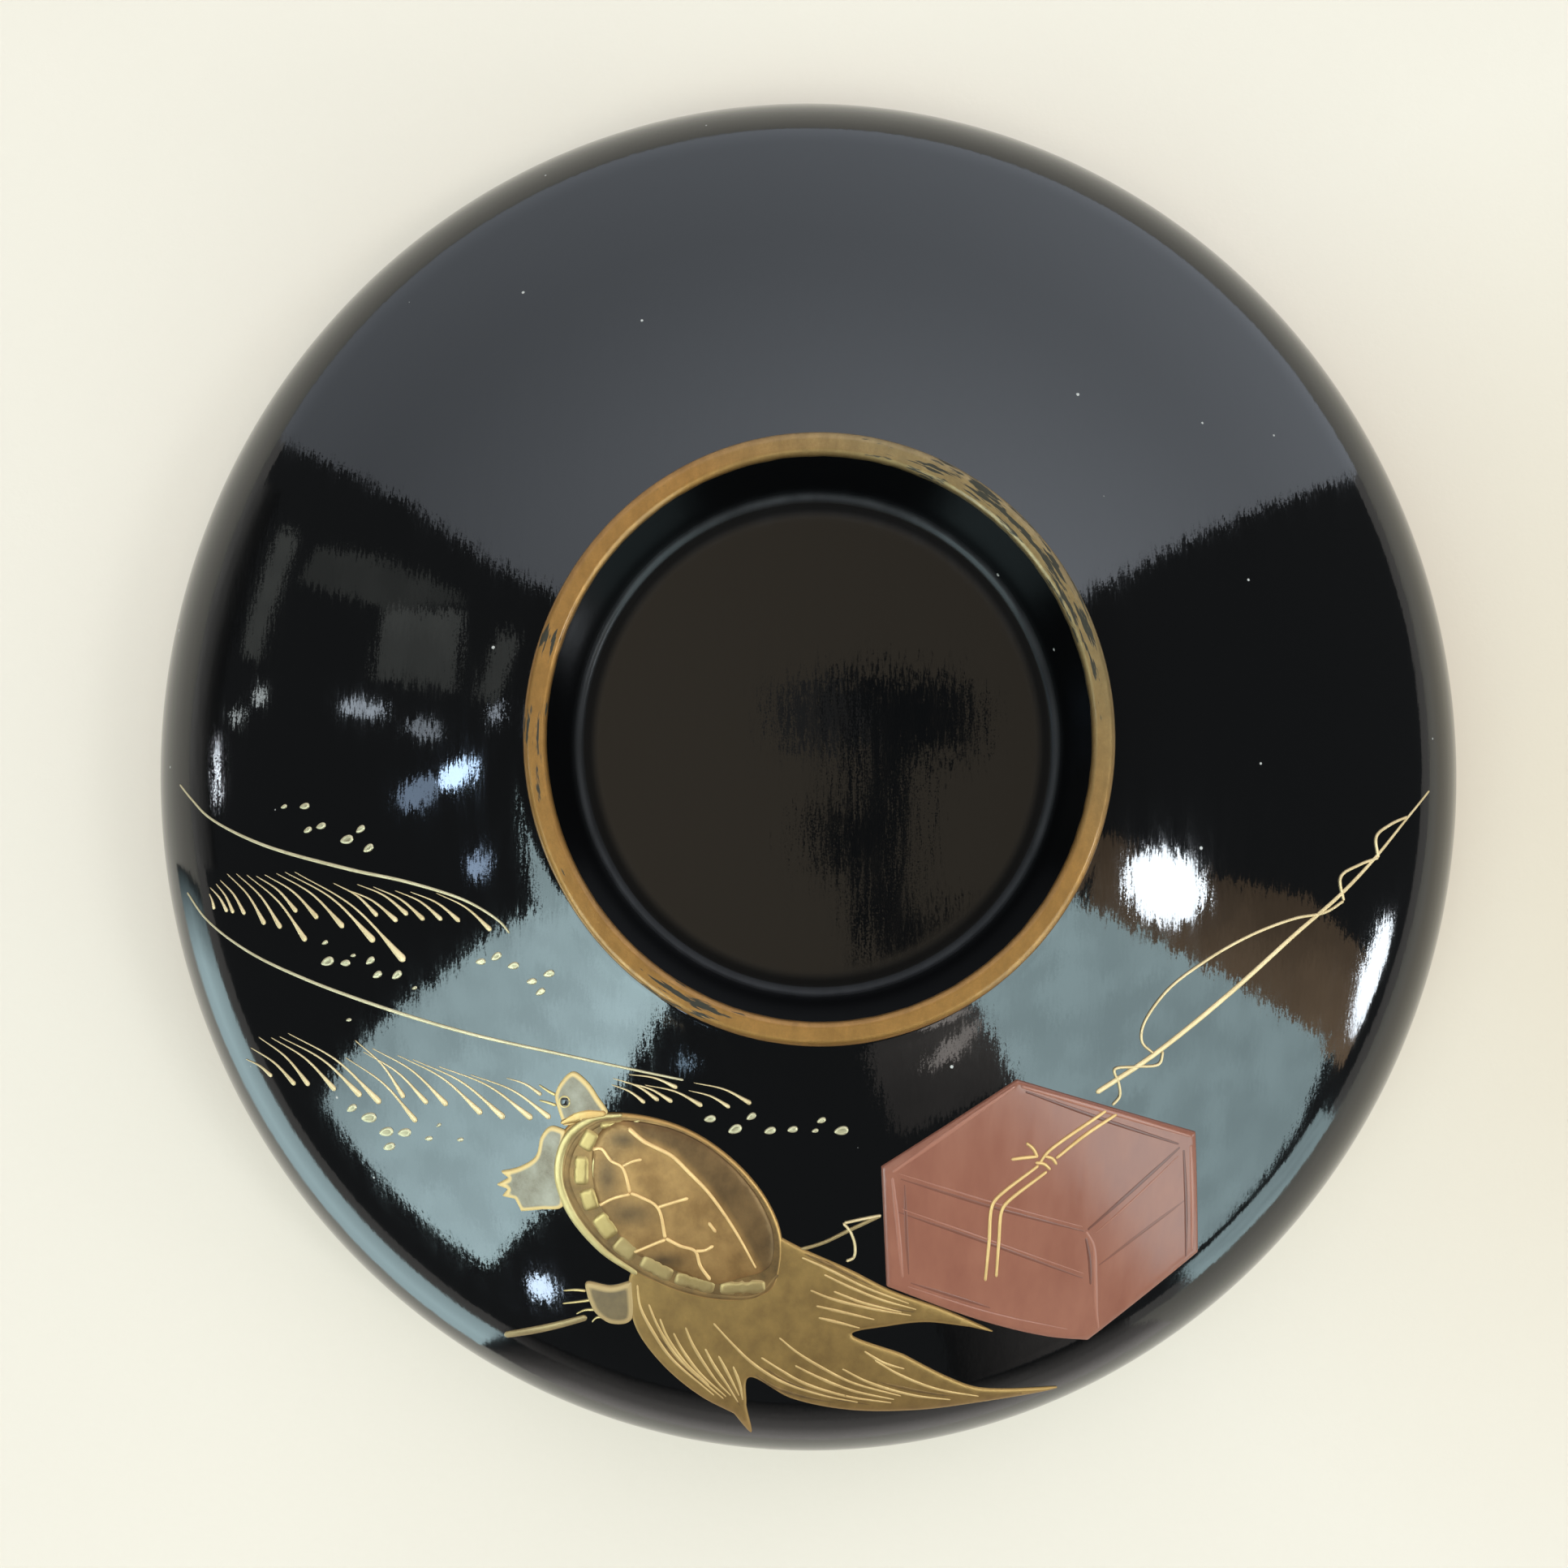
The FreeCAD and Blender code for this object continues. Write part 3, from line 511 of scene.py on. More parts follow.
def attribute(tree, name):
    """The value of a mesh attribute."""
    return add_node(tree, "ShaderNodeAttribute", attribute_name=name).outputs["Fac"]


def bumps(tree, *layers):
    """A normal with the layers' relief: each layer is (value, height in millimetres)."""
    normal = None
    for value, height in layers:
        inputs = {"Height": value, "Distance": height * MM, "Strength": 1.0}
        if normal is not None:
            inputs["Normal"] = normal
        normal = add_node(tree, "ShaderNodeBump", inputs).outputs["Normal"]
    return normal


def join(tree, shader, **links):
    """Links values to the shader's inputs by name."""
    for key, value in links.items():
        tree.links.new(value, shader.inputs[key.replace("_", " ")])


def streaked(tree, normal):
    """The normal with a slight lean to and fro along Y, which changes from streak to streak of the grain."""
    streaks = cloud(tree, (5.0, 0.8, 5.0), (1, 8, 3), detail=3.0, rough=0.65)
    sparkle = cloud(tree, (6.5, 6.5, 6.5), (5, 1, 2), detail=1.0)
    lean = add_node(tree, "ShaderNodeCombineXYZ", {
        "X": between(tree, sparkle, 0.2, 0.8, -SPARKLE_LEAN, SPARKLE_LEAN),
        "Y": between(tree, streaks, 0.2, 0.8, -STREAK_LEAN, STREAK_LEAN)})
    leaning = add_node(tree, "ShaderNodeVectorMath", {0: normal, 1: lean.outputs["Vector"]}, operation="ADD")
    unit = add_node(tree, "ShaderNodeVectorMath", {0: leaning.outputs["Vector"]}, operation="NORMALIZE")
    return unit.outputs["Vector"]


def black_lacquer(name, tint, haze=0.0):
    """Polished urushi: the wood's grain shows in it as fine streaks along Y, with a few dust specks.

    The attribute `dull` is where the polishing doesn't reach; the other attribute marks a painted highlight, a
    soft grey line at the foot of the ring's recess wall.
    """
    finish, tree, shader = principled(name, IOR=1.53)
    grain = cloud(tree, (2.6, 0.35, 2.6), detail=3.0, rough=0.6)
    fibre = cloud(tree, (0.8, 0.13, 0.8), (3, 5, 1), detail=2.0)
    polish = cloud(tree, (0.09, 0.06, 0.09), (9, 2, 4), detail=1.0)
    peel = cloud(tree, (5.0, 4.0, 5.0), (7, 7, 2), detail=2.0)
    specks = add_node(tree, "ShaderNodeTexVoronoi",
                      {"Vector": place(tree, (0.2, 0.2, 0.2)), "Scale": 1.0}, feature="F1")
    dust = between(tree, specks.outputs["Distance"], 0.03, 0.02)
    dull = attribute(tree, "dull")
    wear = between(tree, fibre, 0.35, 0.75, 0.035 + haze, 0.07 + haze)
    rough = sums(tree, "ADD", wear, sums(tree, "ADD", sums(tree, "MULTIPLY", dust, 0.5),
                                         sums(tree, "MULTIPLY", dull, 0.2)))
    # Painted highlight: a grey line at the foot of the recess wall, in place of a soft reflection in the fillet.
    painted_glint = sums(tree, "MULTIPLY", attribute(tree, "painted_glint"), between(tree, fibre, 0.3, 0.7, 0.6, 1.0))
    colour = blend_colours(tree, painted_glint, tint, PAINTED_FILLET_HIGHLIGHT)
    colour = blend_colours(tree, dust, colour, SPECK_COLOUR)
    join(tree, shader, Base_Color=colour, Roughness=rough,
         Specular_IOR_Level=between(tree, dull, 0.4, 0.9, 0.5, 0.1),
         Normal=streaked(tree, bumps(tree, (peel, 0.0008), (grain, 0.0022), (fibre, 0.007), (polish, 0.05))))
    return finish


def ring_gilding():
    """Gold on the ring's edge, darker olive at its outer edge as painted shade. The attribute `wear` is where
    it's rubbed through in long flecks.
    """
    finish, tree, shader = principled("ring_gilding", IOR=1.5, Coat_Roughness=0.12)
    way = add_node(tree, "ShaderNodeCombineXYZ", {
        "X": attribute(tree, "along_x"), "Y": attribute(tree, "along_y"), "Z": attribute(tree, "across")})
    flecks = add_node(tree, "ShaderNodeTexNoise", {
        "Vector": way.outputs["Vector"], "Scale": 1.0, "Detail": 3.0, "Roughness": 0.6})
    mottle = cloud(tree, (0.9, 0.5, 0.9), detail=4.0, rough=0.65)
    upper_right = sums(tree, "ADD", attribute(tree, "along_x"), attribute(tree, "along_y"))
    grit = cloud(tree, (7.0, 7.0, 7.0), detail=2.0)
    ragged = between(tree, flecks.outputs[0], 0.35, 0.75, -0.6, 0.6)
    rubbed = sums(tree, "ADD", attribute(tree, "wear"), ragged)
    bare = between(tree, rubbed, 0.42, 0.58)
    warm = blend_colours(tree, between(tree, mottle, 0.35, 0.65), *WARM_GILDING)
    olive = blend_colours(tree, between(tree, mottle, 0.35, 0.65), *OLIVE_GILDING)
    # Painted shade: the band's outer edge, where it turns away, is made darker olive; the band is also darker
    # olive towards the upper right.
    outer = between(tree, attribute(tree, "across"), OLIVE_EDGE, 0, 0, 0.8)
    olive_share = sums(tree, "MAXIMUM", outer, between(tree, upper_right, 3.2, 9, 0, 0.85))
    gold = blend_colours(tree, olive_share, warm, olive)
    gold = blend_colours(tree, between(tree, grit, 0.3, 0.7, 0, 0.3), gold, GRITTY_GILDING)
    join(tree, shader, Base_Color=blend_colours(tree, bare, gold, RUBBED_THROUGH),
         Metallic=sums(tree, "SUBTRACT", 0.8, sums(tree, "MULTIPLY", bare, 0.8)),
         Roughness=between(tree, mottle, 0.3, 0.7, 0.5, 0.38),
         Coat_Weight=between(tree, bare, 1, 0, 0, 0.25),
         Specular_IOR_Level=between(tree, bare, 0, 1, 0.5, 0.15),
         Normal=bumps(tree, (grit, 0.006), (mottle, 0.03)))
    return finish


def gold_powder(name, light, dark, shine=0.38, metal=0.8, edge=None, edge_width=0.3):
    """Gold powder under thin lacquer, mottled from light to dark. The edge colour follows the outline."""
    finish, tree, shader = principled(name, IOR=1.5, Metallic=metal)
    mottle = cloud(tree, (0.55, 0.4, 0.55), detail=4.0, rough=0.6)
    grains = cloud(tree, (8.0, 8.0, 8.0), (2, 2, 2), detail=2.0)
    colour = blend_colours(tree, between(tree, mottle, 0.35, 0.68), dark, light)
    colour = blend_colours(tree, between(tree, grains, 0.35, 0.75, 0, 0.3), colour, light)
    if edge:
        near = between(tree, attribute(tree, "inset"), edge_width, edge_width * 0.6)
        colour = blend_colours(tree, near, colour, edge)
    join(tree, shader, Base_Color=colour, Roughness=between(tree, grains, 0.3, 0.7, shine, shine + 0.12),
         Normal=bumps(tree, (grains, 0.004), (mottle, 0.02)))
    return finish


def red_lacquer(name, light, dark):
    """Dusty red lacquer over a raised ground, brushed and a little uneven."""
    finish, tree, shader = principled(name, IOR=1.38)
    brushed = cloud(tree, (0.5, 0.12, 0.5), detail=3.0, rough=0.6)
    powder = cloud(tree, (6.0, 6.0, 6.0), detail=1.0)
    edge = between(tree, attribute(tree, "inset"), 0.5, 0.1, 0, 0.6)
    colour = blend_colours(tree, between(tree, brushed, 0.3, 0.7), dark, light)
    colour = blend_colours(tree, edge, colour, dark)
    join(tree, shader, Base_Color=colour, Roughness=between(tree, brushed, 0.3, 0.7, 0.13, 0.22),
         Normal=bumps(tree, (powder, 0.0006), (brushed, 0.012)))
    return finish


def bare_wood():
    """Straight-grained turned wood, for the core that the lacquer hides."""
    finish, tree, shader = principled("bare_wood", IOR=1.45)
    rings = cloud(tree, (0.7, 0.03, 0.7), detail=4.0)
    pores = cloud(tree, (5.0, 0.3, 5.0), detail=2.0)
    colour = blend_colours(tree, between(tree, rings, 0.35, 0.65), (0.30, 0.18, 0.09), (0.46, 0.31, 0.17))
    join(tree, shader, Base_Color=colour, Roughness=between(tree, pores, 0.3, 0.7, 0.55, 0.8),
         Normal=bumps(tree, (pores, 0.05)))
    return finish


def pale_floor():
    """A plain matt cream tabletop, with painted shade to the lid's right: a little darker and warmer there."""
    finish, tree, shader = principled("pale_floor", Specular_IOR_Level=0.0, Roughness=0.7)
    stain = cloud(tree, (0.012, 0.012, 0.012), detail=2.0)
    tooth = cloud(tree, (1.5, 1.5, 1.5), detail=2.0)
    # Painted shade and warm bounced light: a darker, warmer patch beside the lid's right side.
    away = add_node(tree, "ShaderNodeVectorMath", {0: place(tree), 1: (92, -6, 0)}, operation="DISTANCE")
    warm = between(tree, away.outputs["Value"], 75, 20, 0, 1)
    colour = blend_colours(tree, between(tree, stain, 0.3, 0.7), *TABLETOP)
    colour = blend_colours(tree, warm, colour, TABLETOP_SHADE)
    join(tree, shader, Base_Color=colour, Normal=bumps(tree, (tooth, 0.02)))
    return finish


# ---------------------------------------------------------------- wood, lacquer and gilding


def coat_loop(outer, thickness, side):
    """A closed loop of a profile and its copy a coat's thickness to one side."""
    moved = outer + side * thickness * normals_of(outer)
    moved[:, 0] = np.maximum(moved[:, 0], 0)
    moved[0, 1] = outer[0, 1]
    if outer[-1, 0] < 1e-6:
        moved[-1, 0] = 0
    return np.vstack([outer, moved[::-1]])


def cut_at(profile, level):
    """The part of a profile from where it first rises through that level."""
    first = int(np.argmax(profile[:, 1] > level))
    low, high = profile[first - 1], profile[first]
    crossing = low + (high - low) * (level - low[1]) / (high[1] - low[1])
    return np.vstack([crossing, profile[first:]]), np.vstack([profile[:first], crossing])


def make_coats():
    """The lacquer outside, inside and round the rim, each a closed coat."""
    outside, rim_out = cut_at(outer_profile(), COAT_JOIN)
    within, rim_in = cut_at(hollow_profile(), COAT_JOIN)
    lacquer = black_lacquer("black_lacquer", BLACK_TINT)
    inner_lacquer = black_lacquer("inner_black_lacquer", INNER_TINT, haze=0.05)
    rim_loop = np.vstack([rim_in, rim_out[::-1]])
    outer = turn_on_lathe("outer_coat", coat_loop(outside, OUTER_COAT, -1), lacquer)
    inner = turn_on_lathe("inner_coat", coat_loop(within, INNER_COAT, 1), inner_lacquer)
    rim = turn_on_lathe("rim_coat", rim_loop, lacquer)
    stands_for(outer, "black_lacquer", "outer_lacquer")
    stands_for(inner, "inner_black_lacquer", "inner_lacquer")
    stands_for(rim, "black_lacquer", "rim_lacquer")


GOLD_THICK = 0.09
GOLD_TURNS = 720
GOLD_OUTSIDE = 32.25
GOLD_INSIDE = 32.35
FLECK_LENGTH = 3.0
FLECK_WIDTH = 0.3
# How far in from the band's outer edge its painted shade reaches, in fleck widths.
OLIVE_EDGE = 2.2
WORN = [(78, 3, 0.45), (66, 6, 0.8), (55, 5, 0.65), (44, 6, 0.75), (32, 6, 0.8), (22, 5, 0.7), (13, 4, 0.5),
        (161, 3, 0.9), (176, 7, 0.5), (188, 4, 0.4), (236, 5, 0.75), (246, 5, 0.7), (255, 3, 0.4)]


def make_ring_gold():
    """Gold over the ring's edge, with an uneven border and places where it's worn away."""
    profile = outer_profile()
    chosen = [i for i, (radius, height) in enumerate(profile) if radius < 24 and height > GOLD_OUTSIDE]
    path = profile[chosen[0] - 1:chosen[-1] + 2]
    run = np.concatenate([[0], np.cumsum(np.linalg.norm(np.diff(path, axis=0), axis=1))])
    top = int(path[:, 1].argmax())
    first = np.interp(GOLD_OUTSIDE, path[:top, 1], run[:top])
    last = np.interp(-GOLD_INSIDE, -path[top:, 1], run[top:])
    outwards = normals_of(path)
    steps = 25
    points, wear, across = [], [], []
    for turn in range(GOLD_TURNS):
        angle = math.tau * turn / GOLD_TURNS
        spot = Vector((22 * math.cos(angle), 22 * math.sin(angle), 0))
        ragged = [0.09 * noise.noise(spot * 0.9 + Vector((0, 0, height))) for height in (3, 11)]
        begin = first + ragged[0]
        end = last + ragged[1]
        worn = sum(depth * math.exp(-(((math.degrees(angle) - centre + 180) % 360 - 180) / width) ** 2)
                   for centre, width, depth in WORN)
        for part in np.linspace(0, 1, steps):
            reach = begin + (end - begin) * part
            swell = min(1.0, 8 * min(part, 1 - part))
            lift = GOLD_THICK * swell - 0.02
            radius = np.interp(reach, run, path[:, 0]) + lift * np.interp(reach, run, outwards[:, 0])
            height = np.interp(reach, run, path[:, 1]) + lift * np.interp(reach, run, outwards[:, 1])
            points.append((radius * math.cos(angle), radius * math.sin(angle), height))
            crest = 1 - abs(2 * part - 1)
            wear.append(worn * (0.35 + 0.65 * crest))
            across.append(reach / FLECK_WIDTH)
        for reach in (end, begin):
            radius = np.interp(reach, run, path[:, 0]) - 0.06 * np.interp(reach, run, outwards[:, 0])
            height = np.interp(reach, run, path[:, 1]) - 0.06 * np.interp(reach, run, outwards[:, 1])
            points.append((radius * math.cos(angle), radius * math.sin(angle), height))
            wear.append(worn)
            across.append(reach / FLECK_WIDTH)
    faces = turned_faces(GOLD_TURNS, steps + 2)
    along_x, along_y, _ = np.array(points).T / FLECK_LENGTH
    marks = {"wear": wear, "across": across, "along_x": along_x, "along_y": along_y}
    piece = make_piece("ring_gilding", points, faces, ring_gilding(), marks)
    stands_for(piece, "ring_gold", "ring_gold_band")


# ---------------------------------------------------------------- the turtle

PALE_GOLD = (0.60, 0.46, 0.21)
LIGHT_GOLD = (0.48, 0.34, 0.14)
MID_GOLD = (0.40, 0.22, 0.075)
DEEP_GOLD = (0.23, 0.125, 0.045)
SHADOW_GOLD = (0.10, 0.058, 0.024)
SILVER = (0.24, 0.225, 0.17)
UMBER = (0.13, 0.108, 0.07)

SHELL = smooth([
    (-19.7, -29.2), (-18.1, -28.6), (-15.1, -28.5), (-11.6, -29.2), (-8.8, -30.5), (-6.0, -32.7),
    (-4.0, -35.2), (-2.9, -37.8), (-2.8, -40.2), (-3.6, -42.6), (-6.4, -43.5), (-9.9, -43.2),
    (-13.1, -42.1), (-17.0, -40.0), (-19.9, -37.0), (-21.2, -33.6), (-20.8, -30.6),
], closed=True)
DOME = smooth([
    (-16.3, -29.1), (-12.6, -29.3), (-9.4, -30.5), (-6.5, -32.7), (-4.4, -35.4), (-3.4, -38.2),
    (-3.8, -40.6), (-6.2, -41.6), (-8.6, -42.1), (-11.8, -40.9), (-14.5, -39.8), (-16.4, -37.8),
    (-17.8, -35.2), (-18.2, -32.6), (-17.8, -30.4),
], closed=True)
RIDGE = [(-15.1, -29.5), (-13.8, -30.5), (-11.6, -31.6), (-10.3, -32.8), (-8.8, -34.3), (-7.3, -36.3),
         (-6.0, -38.4), (-4.9, -40.5)]
SEAMS = [
    [(-18.1, -31.3), (-17.3, -31.2), (-16.5, -32.1), (-15.6, -32.6), (-15.0, -34.6)],
    [(-15.0, -34.6), (-14.2, -34.9), (-12.8, -35.7), (-12.2, -38.2)],
    [(-12.2, -38.2), (-11.0, -38.8), (-9.8, -39.2), (-9.4, -40.4), (-8.6, -41.6)],
    [(-15.0, -34.7), (-16.4, -35.1), (-17.7, -35.8)],
    [(-12.8, -35.7), (-11.6, -35.3), (-10.3, -34.9)],
    [(-12.2, -38.3), (-14.2, -39.2), (-15.2, -39.7)],
    [(-9.8, -39.2), (-9.0, -39.1), (-8.3, -38.7)],
    [(-15.6, -32.5), (-14.8, -32.1), (-14.0, -31.9)],
    [(-8.7, -36.8), (-8.1, -37.6)],
]
DOME_EDGE = [(-14.2, -29.0), (-16.0, -29.7), (-17.5, -31.0), (-18.0, -32.9), (-17.6, -35.0)]
OUTER_RIM = [(-15.6, -28.6), (-18.2, -29.0), (-20.2, -30.6), (-20.9, -33.4), (-19.9, -36.4), (-17.4, -39.4),
             (-14.6, -41.3)]
GROOVE = [(-14.4, -28.9), (-17.2, -29.2), (-19.4, -30.8), (-20.2, -33.4), (-19.4, -35.9), (-17.2, -38.8),
          (-14.2, -41.0), (-11.0, -42.4), (-7.6, -43.1), (-4.8, -42.9), (-3.1, -41.2)]
UPPER_SCUTES = [
    (-16.4, -29.35, 2.2, 0.8, 5), (-18.35, -30.6, 1.8, 1.5, 60), (-19.0, -33.0, 2.5, 1.4, 88),
    (-18.4, -35.3, 1.9, 1.5, 108), (-17.1, -37.4, 2.3, 1.7, 125),
]
LOWER_SCUTES = [
    (-15.5, -39.2, 2.2, 1.7, 142), (-13.0, -40.75, 3.0, 1.5, 152), (-9.9, -41.9, 3.5, 1.4, 166),
    (-6.0, -42.25, 3.9, 1.3, 184),
]
SMOKE = [
    (-16.9, -33.4, 1.0, 1.7), (-15.6, -30.5, 1.5, 0.8), (-15.0, -36.4, 1.8, 1.0), (-12.4, -40.2, 1.6, 0.6),
]
HEAD = outline(
    [(-20.4, -29.6), (-20.9, -28.2), (-21.1, -27.2), (-20.6, -26.1), (-19.6, -25.3), (-18.4, -26.1),
     (-17.6, -27.2), (-16.8, -28.6)],
    [(-18.6, -29.2)],
)
EYE = (-20.25, -27.6)
WHISKERS = [
    [(-21.0, -27.2), (-21.6, -26.9), (-22.4, -26.4)],
    [(-21.0, -28.0), (-21.6, -27.8), (-22.4, -27.6)],
]
NECK = [(-20.6, -29.3), (-19.0, -28.7), (-16.9, -28.5)]
FRONT_LEG = outline(
    [(-20.2, -29.9), (-21.5, -29.6), (-22.3, -30.4), (-22.8, -32.0), (-24.2, -32.9)],
    [(-25.8, -33.3)], [(-25.1, -33.8)], [(-26.2, -34.4)], [(-25.2, -34.7)], [(-25.7, -35.3)],
    [(-24.6, -35.5)], [(-24.1, -36.5), (-22.4, -36.3), (-20.6, -36.0)],
    [(-20.7, -33.0)],
)
HIND_LEG = outline(
    [(-15.0, -41.9), (-16.8, -42.4), (-18.9, -42.2)],
    [(-18.8, -43.4), (-18.2, -44.7), (-16.9, -45.6), (-15.2, -45.3)],
)
CLAWS = [[(-18.9, -42.95), (-19.8, -42.9), (-20.8, -43.0)], [(-18.5, -43.7), (-19.6, -43.9), (-20.9, -44.1)],
         [(-18.1, -44.5), (-19.1, -44.6), (-19.8, -44.95)], [(-17.5, -45.1), (-18.1, -45.2), (-18.5, -45.6)]]
TAIL = outline(
    [(-4.0, -37.6), (-1.4, -39.0), (2.8, -40.9), (6.1, -42.6), (10.8, -44.4), (14.8, -46.4)],
    [(12.7, -45.9), (9.0, -45.4), (5.8, -45.7), (3.0, -46.3)],
    [(7.3, -48.1), (11.1, -50.2), (13.8, -51.3), (20.9, -52.0)],
    [(14.6, -52.7), (8.6, -53.2), (2.8, -53.0), (-2.0, -51.9), (-5.5, -50.1)],
    [(-5.7, -52.6), (-5.3, -55.4)],
    [(-6.8, -53.4), (-9.6, -51.8), (-12.6, -49.2), (-14.7, -46.3), (-15.3, -44.0), (-15.0, -41.0)],
    [(-9.0, -38.0)],
)
TAIL_HAIRS = [
    [(-14.6, -42.2), (-14.4, -44.0), (-13.3, -46.3), (-11.9, -48.4), (-8.4, -51.6)],
    [(-13.7, -43.8), (-13.0, -45.6), (-11.6, -48.0), (-9.6, -50.1), (-7.6, -51.9)],
    [(-12.8, -45.0), (-12.2, -46.6), (-10.8, -48.7), (-8.8, -50.7)],
    [(-11.7, -46.2), (-11.0, -47.6), (-9.6, -49.6), (-7.4, -51.7)],
    [(-10.7, -45.7), (-10.1, -47.2), (-8.2, -50.3), (-7.0, -51.6)],
    [(-9.1, -47.5), (-8.4, -48.9), (-7.2, -50.8), (-6.4, -52.2)],
    [(-8.0, -48.1), (-7.4, -49.3), (-6.3, -51.6)],
    [(-6.8, -49.0), (-6.3, -50.4), (-6.0, -52.0)],
    [(-8.4, -45.3), (-7.0, -46.9), (-5.2, -48.7), (-2.8, -50.3), (0.5, -51.5), (3.6, -52.2)],
    [(-4.5, -48.2), (-3.0, -49.2), (-1.0, -50.4), (2.5, -51.6), (6.4, -52.3)],
    [(-3.0, -46.5), (-1.6, -47.7), (0.4, -49.0), (3.0, -50.4), (7.2, -51.7)],
    [(-1.7, -48.9), (0.2, -49.9), (3.0, -51.1), (6.6, -52.0)],
    [(2.2, -49.2), (4.4, -50.4), (8.0, -51.6), (11.4, -52.2)],
    [(4.0, -47.7), (5.6, -48.7), (7.4, -49.3)],
    [(4.9, -48.5), (7.0, -49.8), (10.0, -51.1), (13.8, -52.0)],
    [(-1.2, -39.8), (1.0, -40.8), (4.0, -42.3), (7.6, -43.7)],
    [(0.6, -41.2), (2.4, -42.1), (5.2, -43.3), (8.2, -44.2)],
    [(-0.5, -42.5), (1.2, -43.2), (4.2, -44.0), (7.8, -44.7)],
    [(1.4, -42.6), (3.6, -43.5), (7.0, -44.4)],
    [(0.0, -43.8), (2.0, -44.3), (4.8, -45.0)],
    [(0.2, -44.8), (1.8, -45.2), (3.6, -45.7)],
]
# Dark lines painted between the tail's hairs as the shade in the hollows between them.
TAIL_SHADE_LINES = [
    [(-5.0, -49.7), (-3.4, -50.8), (-0.8, -51.7), (2.2, -52.3)],
    [(-4.4, -49.0), (-1.8, -50.6), (1.6, -51.8), (5.4, -52.6)],
    [(-1.0, -39.5), (1.6, -40.7), (4.6, -42.2)],
    [(-12.9, -46.6), (-11.2, -48.8), (-9.0, -50.8)],
    [(-7.6, -49.9), (-6.8, -51.4), (-6.1, -52.8)],
    [(5.2, -50.4), (8.6, -51.3), (12.2, -52.0)],
    [(2.6, -43.3), (5.6, -44.0), (8.6, -44.5)],
]


def turned(x, y, lean, along, across):
    """Plan points about (x, y), along and across a direction that leans from +X."""
    return np.stack([x + along * math.cos(lean) - across * math.sin(lean),
                     y + along * math.sin(lean) + across * math.cos(lean)], 1)


def pad(x, y, length, width, turn):
    """The outline of a small plate with soft corners, its length along the turn in degrees."""
    angles = np.linspace(0, math.tau, 36, endpoint=False)
    squareness = 0.5
    along = length / 2 * np.sign(np.cos(angles)) * np.abs(np.cos(angles)) ** squareness
    across = width / 2 * np.sign(np.sin(angles)) * np.abs(np.sin(angles)) ** squareness
    return turned(x, y, math.radians(turn), along, across)


SHELL_PLATE = 0.22
DOME_RISE = 0.42


def plate_height(points, inset):
    """The shell's lower plate is level within a rounded edge."""
    return SHELL_PLATE * rounded(inset, 0.25)


def side_of(points, path):
    """How far the points are to the left of a path, and less than zero to its right."""
    path = smooth(path)
    nearest = ((points[:, None, :] - path[None, :, :]) ** 2).sum(2).argmin(1)
    steps = np.gradient(path, axis=0)[nearest]
    steps /= np.linalg.norm(steps, axis=1, keepdims=True)
    away = points - path[nearest]
    return steps[:, 0] * away[:, 1] - steps[:, 1] * away[:, 0]


def dome_height(points, inset):
    """The shell is highest along its ridge, which is nearer to its right side."""
    slope = np.abs(side_of(points, RIDGE))
    crest = inset / (inset + slope + 0.6)
    return 0.06 + SHELL_PLATE * rounded(inset, 0.25) + DOME_RISE * crest**0.8


def on_dome(x, y):
    """The height of the dome over the lacquer, as the ground that its seams lie on."""
    points = np.stack([x, y], -1)
    inset = distance(points, DOME) * inside(points, DOME)
    return dome_height(points, inset) - 0.02


def shade_marks(points):
    """Where the dome is darker: painted shade right of the ridge, where it slopes away, and the smoky corners of
    some scutes.
    """
    # Painted shade on the side of the dome right of its ridge.
    right = np.clip(side_of(points, RIDGE) / 0.5, 0, 1)
    smoke = sum(np.exp(-((points[:, 0] - x) / wide) ** 2 - ((points[:, 1] - y) / high) ** 2)
                for x, y, wide, high in SMOKE)
    return np.clip(0.8 * right + smoke, 0, 1)


def dome_finish():
    """The dome's gold, with painted shade: darker where the attribute `shade` says."""
    finish, tree, shader = principled("dome_gold", IOR=1.5, Metallic=0.75)
    mottle = cloud(tree, (0.45, 0.35, 0.45), detail=4.0, rough=0.6)
    grains = cloud(tree, (8.0, 8.0, 8.0), detail=2.0)
    bright = blend_colours(tree, between(tree, mottle, 0.35, 0.65), (0.185, 0.093, 0.03), (0.30, 0.16, 0.056))
    # The dull colour is the bright gold in painted shade.
    dull = blend_colours(tree, between(tree, mottle, 0.35, 0.65), (0.065, 0.036, 0.015), (0.11, 0.06, 0.024))
    colour = blend_colours(tree, attribute(tree, "shade"), bright, dull)
    join(tree, shader, Base_Color=colour, Roughness=between(tree, grains, 0.3, 0.7, 0.38, 0.5),
         Normal=bumps(tree, (grains, 0.004), (mottle, 0.02)))
    return finish


